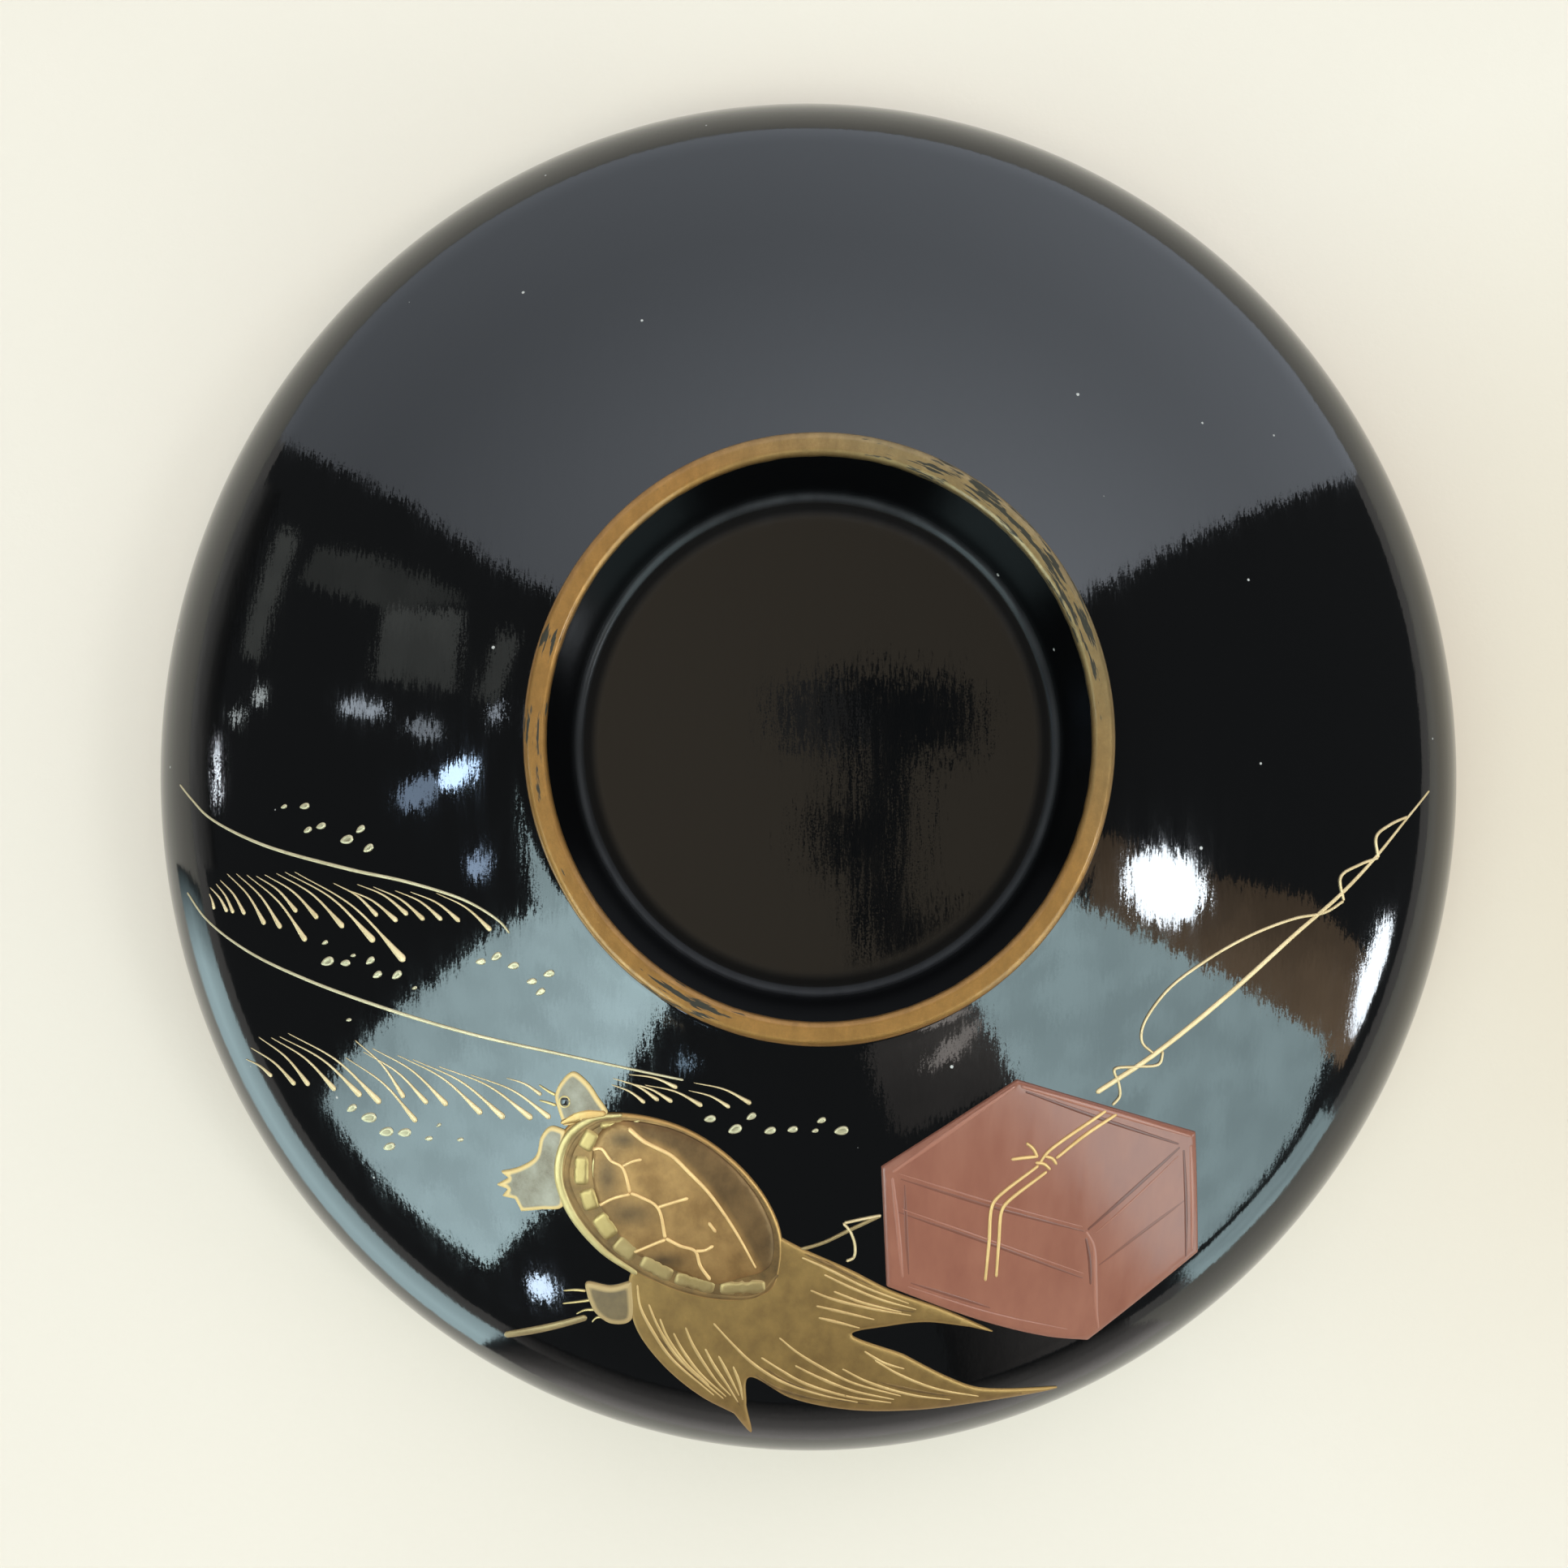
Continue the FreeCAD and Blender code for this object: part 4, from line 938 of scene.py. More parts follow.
def make_shell(deep):
    """The shell: its lower plate, the dome with its seams, the scutes, the groove and the rims."""
    on_plate = level_ground(SHELL_PLATE - 0.03)
    plate = raise_patches("turtle_shell_plate", [SHELL], plate_height,
                          gold_powder("shell_plate_gold", DEEP_GOLD, SHADOW_GOLD, edge=MID_GOLD, edge_width=0.3))
    stands_for(plate, "gold_relief", "turtle_shell_margin")
    points, faces, inset = raised_patch(DOME, dome_height)
    shade = np.tile(shade_marks(points[:len(points) // 2, :2]), 2)
    dome = make_piece("turtle_shell_dome", points, faces, dome_finish(), {"inset": inset, "shade": shade})
    stands_for(dome, "gold_relief", "turtle_shell")
    for name, places, light, dark in (
            ("turtle_upper_scutes", UPPER_SCUTES, (0.40, 0.28, 0.11), (0.31, 0.205, 0.073)),
            ("turtle_lower_scutes", LOWER_SCUTES, (0.33, 0.225, 0.095), (0.25, 0.16, 0.06))):
        plates = raise_patches(name, [pad(*place_and_size) for place_and_size in places],
                               lambda p, inset: 0.34 * rounded(inset, 0.3),
                               gold_powder(name, light, dark), pitch=0.2)
        stands_for(plates, "pale_gold")
    grooves = brush_strokes("turtle_shell_groove", [(GROOVE, (0.2, 0.6, 0.7, 0.7, 0.6, 0.5, 0.5, 0.4, 0.3))],
                            0.05, deep, on_plate)
    stands_for(grooves, "dark_gold")
    rims = brush_strokes("turtle_shell_rims", [
        (OUTER_RIM, (0.3, 0.8, 0.9, 0.8, 0.7, 0.5)), (DOME_EDGE, (0.25, 0.45, 0.5, 0.3, 0.12))], 0.14,
                         gold_powder("shell_rim_gold", (0.47, 0.36, 0.165), (0.37, 0.26, 0.105)), on_plate)
    stands_for(rims, "pale_gold")
    lines = stroke_list(SEAMS, (0.36, 0.3, 0.36)) + [(RIDGE, (0.46, 0.4, 0.36, 0.3, 0.2))]
    seam_gold = gold_powder("seam_gold", (0.62, 0.40, 0.17), (0.50, 0.30, 0.12), metal=0.5)
    stands_for(brush_strokes("turtle_shell_seams", lines, 0.11, seam_gold, on_dome), "dark_gold",
               "turtle_shell_seams")


def make_turtle():
    """The turtle's shell, head, legs, claws and long straw-like tail."""
    pale = gold_powder("pale_gold", PALE_GOLD, LIGHT_GOLD)
    deep = gold_powder("deep_gold", DEEP_GOLD, SHADOW_GOLD, shine=0.45)
    limb_edge = gold_powder("limb_edge_gold", LIGHT_GOLD, MID_GOLD)
    limb = gold_powder("limb_gold", SILVER, UMBER, shine=0.5, metal=0.2, edge=LIGHT_GOLD, edge_width=0.42)
    tail_gold = gold_powder("tail_gold", (0.27, 0.155, 0.05), (0.18, 0.10, 0.033), shine=0.45,
                            edge=(0.31, 0.18, 0.06), edge_width=0.3)
    make_shell(deep)
    brown_limb = gold_powder("brown_limb_gold", (0.14, 0.095, 0.043), (0.085, 0.057, 0.028), shine=0.5,
                             metal=0.4, edge=(0.30, 0.20, 0.085), edge_width=0.55)
    for name, loop, slot, finish in (("turtle_head", HEAD, "silver_gold", limb),
                                     ("turtle_front_leg", FRONT_LEG, "gold_relief", limb),
                                     ("turtle_hind_leg", HIND_LEG, "gold_relief", brown_limb)):
        limb_piece = raise_patches(name + "_relief", [loop],
                                   lambda p, inset: 0.14 + 0.14 * rounded(inset, 0.9), finish, pitch=0.2)
        stands_for(limb_piece, slot, name)
    lifted = level_ground(0.26)
    ring = [(EYE[0] + 0.42 * math.cos(t), EYE[1] + 0.42 * math.sin(t)) for t in np.linspace(0, math.tau, 13)]
    stands_for(brush_strokes("turtle_eye_ring", [(ring, (0.16, 0.16))], 0.08, pale, lifted), "silver_gold")
    pupil = raise_patches("turtle_eye", [pad(*EYE, 0.66, 0.66, 0)],
                          lambda p, inset: 0.3 + 0.08 * rounded(inset, 0.3),
                          black_lacquer("eye_lacquer", (0.01, 0.009, 0.008)), pitch=0.1)
    stands_for(pupil, "black_lacquer")
    claws = brush_strokes("turtle_claws_relief", stroke_list(CLAWS, (0.26, 0.2, 0.12)), 0.12, pale)
    stands_for(claws, "gold_line", "turtle_claws")
    neck = brush_strokes("turtle_neck_band", [(NECK, (0.3, 0.9, 1.0, 0.5))], 0.06, limb_edge, lifted)
    stands_for(neck, "silver_gold")
    whiskers = brush_strokes("turtle_whiskers", stroke_list(WHISKERS, (0.3, 0.22, 0.12)), 0.12, pale)
    stands_for(whiskers, "gold_line")
    tail = raise_patches("turtle_tail_relief", [TAIL], lambda p, inset: 0.2 * rounded(inset, 0.35), tail_gold)
    stands_for(tail, "gold_relief", "turtle_tail")
    on_tail = level_ground(0.17)
    hair_gold = gold_powder("hair_gold", (0.48, 0.31, 0.13), (0.38, 0.235, 0.09), metal=0.6)
    strands = stroke_list(TAIL_HAIRS, (0.2, 0.34, 0.28, 0.14))
    hairs = brush_strokes("turtle_tail_strands", strands, 0.1, hair_gold, on_tail)
    stands_for(hairs, "pale_gold", "turtle_tail_hairs")
    # Painted shade: dark gold strokes between the hairs, laid on the tail, not sunk into it.
    shade_strokes = stroke_list(TAIL_SHADE_LINES, (0.15, 0.4, 0.3, 0.1))
    furrow_shade = brush_strokes("turtle_tail_painted_shade", shade_strokes, 0.05, deep, on_tail)
    stands_for(furrow_shade, "dark_gold")


# ---------------------------------------------------------------- the box, the rod and the water

BOX = outline(
    [(16.0, -25.9)], [(31.3, -30.4)], [(32.2, -40.4)],
    [(22.9, -47.5), (19.4, -47.0), (14.0, -45.5)], [(5.7, -42.3)], [(5.1, -32.6)],
)
# Pale lines painted as highlights along the box's raised edges.
BOX_HIGHLIGHT_LINES = [
    [(6.0, -33.4), (6.55, -37.6), (7.0, -41.5)],
    [(22.1, -38.1), (22.8, -39.3), (23.1, -41.8), (23.4, -44.8), (23.7, -46.4)],
    [(6.0, -33.0), (11.0, -29.6), (15.8, -26.4)],
    [(30.8, -31.4), (31.2, -35.6), (31.5, -40.1)],
    [(16.3, -26.4), (23.5, -28.5), (30.8, -30.7)],
]
# Thinner pale lines painted as highlights.
BOX_THIN_HIGHLIGHT_LINES = [
    [(6.5, -33.1), (14.2, -35.5), (21.8, -37.7)],
    [(6.8, -35.9), (13.4, -38.3), (22.1, -41.6)],
    [(22.9, -38.3), (26.4, -35.3), (29.8, -32.2)],
    [(7.4, -42.2), (14.4, -44.6), (21.0, -46.3)],
]
# Dark lines painted as shadow beside the box's raised edges.
BOX_SHADOW_LINES = [
    [(22.2, -38.0), (26.0, -34.8), (29.9, -31.5)],
    [(16.6, -26.8), (22.8, -29.0), (29.8, -31.3)],
    [(30.2, -31.7), (30.7, -36.4), (31.0, -40.7)],
    [(22.1, -38.6), (22.5, -40.3), (22.75, -42.6)],
]
# Fainter dark lines painted as shadow beside the thin highlights.
BOX_FAINT_SHADOW_LINES = [
    [(6.6, -33.5), (14.2, -35.9), (22.0, -38.1)],
    [(6.4, -36.1), (13.4, -38.6), (22.1, -42.0)],
    [(23.3, -41.0), (27.2, -38.2), (30.7, -35.8)],
    [(7.0, -33.9), (7.2, -37.6), (7.5, -41.3)],
    [(7.6, -41.9), (14.4, -44.2)],
]
CORD = [
    [(23.4, -28.4), (18.6, -31.6), (18.0, -32.4)],
    [(24.3, -28.7), (21.7, -30.3), (19.3, -32.1)],
    [(17.9, -32.6), (14.4, -35.3), (14.1, -36.0), (14.0, -38.6), (13.8, -41.9)],
    [(18.6, -33.1), (15.3, -35.6), (14.95, -36.2), (14.8, -38.8), (14.7, -41.6)],
    [(15.6, -32.1), (16.6, -32.0), (17.8, -31.9)],
    [(16.8, -30.8), (17.4, -31.3), (17.8, -32.0)],
    [(18.4, -31.9), (19.0, -32.1), (19.4, -32.6)],
    [(17.6, -32.4), (18.3, -32.5), (18.9, -33.0)],
]
ROD = [
    [(22.6, -27.1), (27.4, -24.2), (34.0, -19.4), (39.7, -14.9), (44.0, -11.7), (47.4, -8.7), (50.7, -5.4),
     (53.1, -3.1)],
    [(-1.9, -39.4), (0.5, -38.7), (2.6, -37.7), (5.2, -36.5)],
    [(-18.9, -45.2), (-21.8, -46.1), (-26.1, -47.2)],
]
LINE = [
    [(50.7, -5.3), (48.9, -6.0), (47.5, -7.0), (47.7, -8.7)],
    [(47.7, -8.7), (45.8, -9.3), (44.0, -10.3), (44.3, -12.2)],
    [(44.3, -12.2), (42.6, -13.1), (39.7, -13.6), (35.7, -14.9), (31.7, -16.9), (28.3, -19.3), (26.4, -22.0),
     (26.4, -23.2), (27.4, -24.1)],
    [(28.2, -23.9), (27.9, -24.9), (25.9, -25.1), (24.1, -25.3), (24.5, -26.4), (24.6, -27.4), (24.0, -28.1)],
    [(5.2, -36.5), (3.6, -36.8), (2.2, -37.1)],
    [(2.1, -37.1), (2.7, -37.8), (3.1, -39.0), (3.0, -39.9), (2.4, -40.2)],
]
CRESTS = [
    [(-54.6, -2.6), (-53.2, -3.9), (-51.4, -5.4), (-46.5, -7.6), (-38.4, -9.7), (-33.0, -10.8),
     (-28.1, -12.3), (-25.4, -13.9), (-24.7, -14.7)],
    [(-53.9, -11.5), (-51.9, -13.6), (-47.8, -16.2), (-42.4, -18.4), (-34.3, -20.9), (-27.6, -22.6),
     (-20.0, -24.1), (-10.7, -25.9)],
]
SPRAY = [
    ((-51.4, -11.6), (-50.9, -12.9)), ((-51.3, -11.1), (-49.6, -13.1)), ((-50.7, -10.8), (-49.0, -13.2)),
    ((-50.3, -10.5), (-47.9, -13.3)), ((-49.6, -10.0), (-46.0, -14.1)), ((-48.7, -10.0), (-44.5, -14.4)),
    ((-47.7, -10.1), (-42.2, -15.4)), ((-46.8, -10.2), (-43.0, -13.1)), ((-46.0, -10.1), (-41.1, -13.6)),
    ((-44.9, -10.0), (-38.8, -14.3)), ((-44.1, -9.9), (-36.1, -15.4)), ((-43.2, -9.9), (-33.5, -16.9)),
    ((-39.7, -10.8), (-35.8, -13.4)), ((-38.9, -11.2), (-34.1, -13.8)), ((-37.6, -10.9), (-33.2, -13.3)),
    ((-36.2, -11.1), (-31.8, -13.7)), ((-34.3, -11.4), (-30.3, -13.7)), ((-33.0, -11.5), (-28.8, -13.8)),
    ((-30.8, -11.6), (-26.2, -14.5)),
    ((-48.4, -25.1), (-45.8, -26.4)), ((-47.8, -24.1), (-43.6, -27.0)), ((-46.9, -23.2), (-42.3, -27.0)),
    ((-45.7, -23.2), (-39.9, -27.3)), ((-44.9, -23.1), (-37.6, -27.7)), ((-44.1, -22.8), (-35.9, -28.2)),
    ((-38.9, -24.6), (-32.8, -29.6)), ((-38.0, -23.2), (-33.8, -27.7)), ((-37.3, -24.1), (-31.8, -28.1)),
    ((-36.5, -23.8), (-30.1, -28.2)), ((-34.3, -24.3), (-27.2, -28.8)), ((-33.0, -24.6), (-25.3, -29.1)),
    ((-30.8, -25.1), (-23.0, -29.1)), ((-28.1, -25.7), (-21.5, -29.0)), ((-25.1, -25.9), (-22.2, -27.2)),
    ((-16.5, -26.3), (-13.8, -27.7)), ((-16.4, -25.8), (-12.7, -27.5)), ((-15.5, -26.1), (-11.6, -27.6)),
    ((-13.8, -26.3), (-9.2, -27.9)), ((-15.1, -25.5), (-11.2, -26.5)), ((-10.3, -26.7), (-7.0, -28.0)),
    ((-9.9, -26.1), (-5.3, -27.7)),
]
DROPS = [
    (-44.2, -4.7, 0.6), (-42.3, -4.7, 0.9), (-40.8, -6.3, 0.9), (-42.0, -6.6, 0.8), (-38.5, -7.4, 1.2),
    (-37.3, -6.6, 0.9), (-36.6, -8.1, 1.0), (-40.5, -15.5, 0.6), (-40.3, -17.0, 1.2), (-38.7, -17.1, 0.9),
    (-38.0, -16.5, 0.5), (-36.5, -16.9, 0.9), (-35.9, -18.0, 0.9), (-34.2, -18.0, 1.0), (-32.7, -19.0, 0.5),
    (-38.5, -21.6, 0.5), (-27.1, -16.9, 0.9), (-25.8, -16.5, 1.0), (-24.4, -17.2, 1.0), (-22.9, -18.4, 0.9),
    (-21.5, -17.8, 1.0), (-22.2, -19.2, 0.9), (-38.5, -28.7, 1.0), (-37.0, -29.4, 1.4), (-35.5, -30.5, 1.3),
    (-33.9, -30.5, 1.2), (-35.3, -31.7, 1.1), (-31.8, -30.9, 0.7), (-29.1, -30.9, 0.6), (-30.9, -29.8, 0.5),
    (-8.6, -28.9, 1.0), (-6.6, -29.7, 1.2), (-5.3, -28.7, 0.9), (-3.8, -29.8, 1.0), (-2.0, -29.7, 0.9),
    (-0.2, -29.8, 0.6), (0.3, -29.0, 0.8), (1.9, -29.8, 1.2),
]
BOX_HEIGHT = 0.28


def make_box():
    """The red box with its raised edges, painted highlights and painted shadows along them, and its cord."""
    red = red_lacquer("red_lacquer", (0.175, 0.069, 0.044), (0.145, 0.055, 0.036))
    box = raise_patches("red_box_relief", [BOX],
                        lambda p, inset: BOX_HEIGHT * rounded(inset, 0.35), red, pitch=0.4)
    stands_for(box, "red_lacquer", "red_box")
    on_box = level_ground(BOX_HEIGHT - 0.03)
    # Painted highlights: pale red lines along the box's raised ridges.
    highlight_red = red_lacquer("red_highlight_lacquer", (0.23, 0.098, 0.066), (0.20, 0.082, 0.055))
    # Painted shadows: dark red lines beside the ridges.
    shadow_red = red_lacquer("red_shadow_lacquer", (0.105, 0.04, 0.027), (0.085, 0.032, 0.022))
    highlight_lines = stroke_list(BOX_HIGHLIGHT_LINES, (0.3, 0.5, 0.46, 0.24)) \
        + stroke_list(BOX_THIN_HIGHLIGHT_LINES, (0.1, 0.2, 0.18, 0.1))
    edges = brush_strokes("box_painted_highlights", highlight_lines, 0.08, highlight_red, on_box)
    stands_for(edges, "red_ridge_lacquer", "box_ridges")
    shadow_lines = stroke_list(BOX_SHADOW_LINES, (0.26, 0.42, 0.42, 0.24))
    grooves = brush_strokes("box_painted_shadows", shadow_lines, 0.05, shadow_red, on_box)
    stands_for(grooves, "red_ridge_lacquer")
    # Fainter painted shadows beside the thin highlights.
    faint = red_lacquer("red_faint_shadow_lacquer", (0.125, 0.049, 0.032), (0.11, 0.042, 0.028))
    faint_shadow_lines = stroke_list(BOX_FAINT_SHADOW_LINES, (0.2, 0.36, 0.36, 0.2))
    seams = brush_strokes("box_faint_painted_shadows", faint_shadow_lines, 0.045, faint, on_box)
    stands_for(seams, "red_ridge_lacquer")
    cord_gold = gold_powder("cord_gold", (0.58, 0.37, 0.155), (0.46, 0.28, 0.105), metal=0.6)
    cord_lines = stroke_list(CORD, (0.3, 0.36, 0.36, 0.3))
    cord = brush_strokes("box_cord_relief", cord_lines, 0.16, cord_gold, on_box)
    stands_for(cord, "gold_line", "box_cord")


def foam_drop(x, y, length):
    """The outline of a fleck of foam, fuller at its upper end."""
    angles = np.linspace(0, math.tau, 20, endpoint=False)
    lean = math.radians(20 + 15 * math.sin(7 * x + 3 * y))
    along = length * 0.5 * np.cos(angles)
    across = length * (0.3 + 0.07 * np.cos(angles)) * np.sin(angles)
    return turned(x, y, lean, along, across)


def foam_height(points, inset):
    """A fleck of foam is dished: highest just inside its edge."""
    return 0.12 * rounded(inset, 0.12) - 0.04 * np.clip((inset - 0.12) / 0.15, 0, 1)


def spray_path(start, end):
    """A line of spray that bows upwards a little."""
    (x0, y0), (x1, y1) = start, end
    bow = 0.06 * math.dist(start, end)
    return [start, (x0 * 0.5 + x1 * 0.5 + bow * 0.6, y0 * 0.5 + y1 * 0.5 + bow), end]


def make_rod_and_water(fine_gold):
    """The fishing rod and its line, the two crests, the spray and the foam."""
    rod = brush_strokes("fishing_rod_relief", [(ROD[0], (0.5, 0.5, 0.5, 0.46, 0.4, 0.36, 0.26, 0.18))], 0.13,
                        fine_gold)
    stands_for(rod, "gold_line", "fishing_rod")
    rod_gold = gold_powder("rod_gold", (0.27, 0.19, 0.085), (0.20, 0.135, 0.06), metal=0.6)
    lower_rod = brush_strokes("fishing_rod_lower_relief", [
        (ROD[1], (0.34, 0.34, 0.38, 0.36)), (ROD[2], (0.62, 0.7, 0.74, 0.66))], 0.13, rod_gold)
    stands_for(lower_rod, "gold_line")
    line = brush_strokes("fishing_line_relief", stroke_list(LINE, (0.26, 0.28, 0.28, 0.26)), 0.15, fine_gold)
    stands_for(line, "gold_line", "fishing_line")
    wave_gold = gold_powder("wave_gold", (0.50, 0.42, 0.26), (0.38, 0.31, 0.18), metal=0.6)
    swells = stroke_list(CRESTS, (0.14, 0.28, 0.34, 0.3, 0.22))
    crests = brush_strokes("wave_crests_relief", swells, 0.12, wave_gold)
    stands_for(crests, "gold_line", "wave_crests")
    spray = [(spray_path(*ends), (0.07, 0.12, 0.18, 0.26, 0.27 + 0.045 * math.dist(*ends))) for ends in SPRAY]
    stands_for(brush_strokes("wave_spray_relief", spray, 0.12, fine_gold), "gold_line", "wave_spray")
    foam_gold = gold_powder("foam_gold", (0.33, 0.28, 0.17), (0.26, 0.21, 0.125), edge=(0.48, 0.41, 0.26),
                            edge_width=0.24)
    foam = raise_patches("foam_drops_relief", [foam_drop(*drop) for drop in DROPS], foam_height, foam_gold,
                         pitch=0.12)
    stands_for(foam, "gold_line", "foam_drops")


# ---------------------------------------------------------------- floor, light and camera

LIGHT_DISTANCE = 2.2
LID_MIDDLE = Vector((0, 0, 0.025))
FLOOR_RADIUS = 2.6
BACKDROP_HEIGHT = 3.0
LOW_WALL_HEIGHT = 0.4
SHEET_HEIGHT = 0.001
SHEET_FADE = 9
DISC_STEPS = 96
FILL_RADIUS = 0.7
FILL_HEIGHT = 1.8
FILL_SHIFT = -0.6
FILL_STRENGTH = 6.9
WINDOW_LIGHT = (0.80, 1.08, 1.13)
LAMP_LIGHT = (0.92, 1.0, 1.08)
BROWN_LIGHT = (1.0, 0.92, 0.86)
DIM_LIGHT = (1.0, 1.06, 1.0)
TABLE_LIGHT = (1.0, 0.95, 0.9)
ROOM_LIGHT = (0.085, 0.09, 0.093)


def direction(zenith, azimuth):
    """A unit vector that many degrees from straight up, turned from +X towards +Y."""
    lean, turn = math.radians(zenith), math.radians(azimuth)
    return Vector((math.sin(lean) * math.cos(turn), math.sin(lean) * math.sin(turn), math.cos(lean)))


def glowing(name, colour, strength, glow=None, uneven=0.0):
    """A plain emitting material. Its strength follows the attribute `glow` if there is one."""
    finish = bpy.data.materials.new(name)
    finish.use_nodes = True
    tree = finish.node_tree
    tree.nodes.clear()
    emitter = add_node(tree, "ShaderNodeEmission", {"Color": (*colour, 1), "Strength": strength})
    if glow:
        patches = cloud(tree, (0.006, 0.006, 0.006), detail=1.0)
        haze = between(tree, patches, 0.35, 0.65, 1 - uneven, 1 + uneven)
        tree.links.new(sums(tree, "MULTIPLY", attribute(tree, glow), haze), emitter.inputs["Strength"])
    output = add_node(tree, "ShaderNodeOutputMaterial")
    tree.links.new(emitter.outputs[0], output.inputs["Surface"])
    return finish


def stage_mesh(name, points, faces, finish, seen=False):
    """A floor, backdrop or soft box, which isn't part of the object."""
    mesh = bpy.data.meshes.new(name)
    mesh.from_pydata([tuple(point) for point in points], [], faces)
    mesh.materials.append(finish)
    made = bpy.data.objects.new(name, mesh)
    bpy.context.scene.collection.objects.link(made)
    made.visible_camera = seen
    made.visible_shadow = False
    return made


def set_glow(sheet, strengths):
    """How brightly each point of a sheet glows."""
    sheet.data.attributes.new("glow", "FLOAT", "POINT").data.foreach_set("value", strengths)


def grid_faces(rows, columns):
    """Faces between the points of a grid that is listed row by row."""
    starts = [row * columns + column for row in range(rows - 1) for column in range(columns - 1)]
    return [(start, start + 1, start + columns + 1, start + columns) for start in starts]


def soft_box(name, corners, colour, strengths):
    """A glowing sheet far from the lid, with its corners as (zenith, azimuth), each with its own strength."""
    points = [LID_MIDDLE + LIGHT_DISTANCE * direction(*corner) for corner in corners]
    finish = glowing(name, colour, 1, "glow", uneven=0.1)
    set_glow(stage_mesh(name, points, [tuple(range(len(points)))], finish), strengths)


def lamp(name, zenith, azimuth, length, width, turn, colour, strength):
    """A small glowing oval, its length turned by that much from the direction away from straight up."""
    middle = direction(zenith, azimuth)
    outwards = direction(zenith + 90, azimuth)
    sideways = middle.cross(outwards)
    lean = math.radians(turn)
    along = (outwards * math.cos(lean) + sideways * math.sin(lean)) * math.tan(math.radians(length / 2))
    across = (sideways * math.cos(lean) - outwards * math.sin(lean)) * math.tan(math.radians(width / 2))
    corners = [middle + along * math.cos(t) + across * math.sin(t) for t in np.linspace(0, math.tau, 17)[:-1]]
    points = [LID_MIDDLE + 0.96 * LIGHT_DISTANCE * corner for corner in corners]
    stage_mesh(name, points, [tuple(range(16))], glowing(name, colour, strength))


def far_wall():
    """The large grey-blue light behind the lid, which fades to the left and towards the horizon."""
    zeniths = np.linspace(18, 92, 15)
    parts = np.linspace(0, 1, 19)
    points, glow = [], []
    for zenith in zeniths:
        right = np.interp(zenith, (30, 75), (35, 29.5))
        left = np.interp(zenith, (30, 37, 50, 75), (140, 143.3, 143.8, 146))
        for part in parts:
            points.append(LID_MIDDLE + LIGHT_DISTANCE * direction(zenith, right + (left - right) * part))
            near = np.clip((58 - zenith) / 26, 0, 1)
            glow.append((1.75 - 0.75 * part) * (1 + 0.45 * near))
    faces = grid_faces(len(zeniths), len(parts))
    finish = glowing("far_wall", (0.94, 1.02, 1.13), 1, "glow")
    set_glow(stage_mesh("far_wall", points, faces, finish), glow)


HAND_AND_PHONE = [
    [(0.1, 0.295), (0.24, 0.3), (0.285, 0.27), (0.28, 0.19), (0.2, 0.175), (0.12, 0.185)],
    [(0.118, 0.19), (0.2, 0.18), (0.19, 0.01), (0.21, -0.1), (0.15, -0.11), (0.125, 0)],
    [(0.06, 0.1), (0.1, 0.115), (0.17, 0.1), (0.165, 0.035), (0.08, 0.03)],
    [(0.12, -0.015), (0.26, -0.02), (0.265, -0.055), (0.13, -0.065)],
]


def ceiling():
    """The dim brown room above, with the dark shapes of the hand and phone that hold the camera."""
    half = 0.8
    corners = [LID_MIDDLE + Vector((x, y, LIGHT_DISTANCE))
               for x, y in ((-half, -half), (half, -half), (half, half), (-half, half))]
    sheet = stage_mesh("ceiling", corners, [(0, 1, 2, 3)], glowing("ceiling", (1.0, 0.84, 0.62), 1, "glow"))
    set_glow(sheet, [0.66, 0.38, 0.38, 0.62])
    for number, shape in enumerate(HAND_AND_PHONE):
        card = [LID_MIDDLE + Vector((x, y, LIGHT_DISTANCE - 0.02)) for x, y in shape]
        stage_mesh(f"hand_and_phone_{number}", card, [tuple(range(len(card)))],
                   glowing(f"hand_and_phone_{number}", (0.8, 0.9, 1.0), 0.04))
    faint = [LID_MIDDLE + Vector((x, y, LIGHT_DISTANCE - 0.01))
             for x, y in ((0.02, 0.27), (0.11, 0.29), (0.12, 0.19), (0.03, 0.2))]
    stage_mesh("hand_edge", faint, [(0, 1, 2, 3)], glowing("hand_edge", (0.9, 0.9, 0.9), 0.2))


def floor_sheet(name, radii, sector, colour, strengths):
    """A glowing part of the tabletop that only the lid reflects, between two azimuths in degrees."""
    turns = np.radians(np.linspace(*sector, 25))
    points = [Vector((radius * math.cos(turn), radius * math.sin(turn), SHEET_HEIGHT))
              for radius in radii for turn in turns]
    fade = np.clip((np.degrees(turns) - sector[0]) / SHEET_FADE, 0, 1)
    finish = glowing(name, colour, 1, "glow")
    sheet = stage_mesh(name, points, grid_faces(len(radii), len(turns)), finish)
    set_glow(sheet, np.outer(strengths, fade).ravel())
    sheet.visible_diffuse = False


def fill_light():
    """Soft light from above that brightens the table and isn't reflected."""
    points = [point + Vector((0, FILL_SHIFT, 0)) for point in disc(FILL_RADIUS, FILL_HEIGHT)]
    sheet = stage_mesh("fill_light", points, [tuple(range(DISC_STEPS))],
                       glowing("fill_light", (1.0, 0.98, 0.94), FILL_STRENGTH))
    sheet.visible_glossy = False


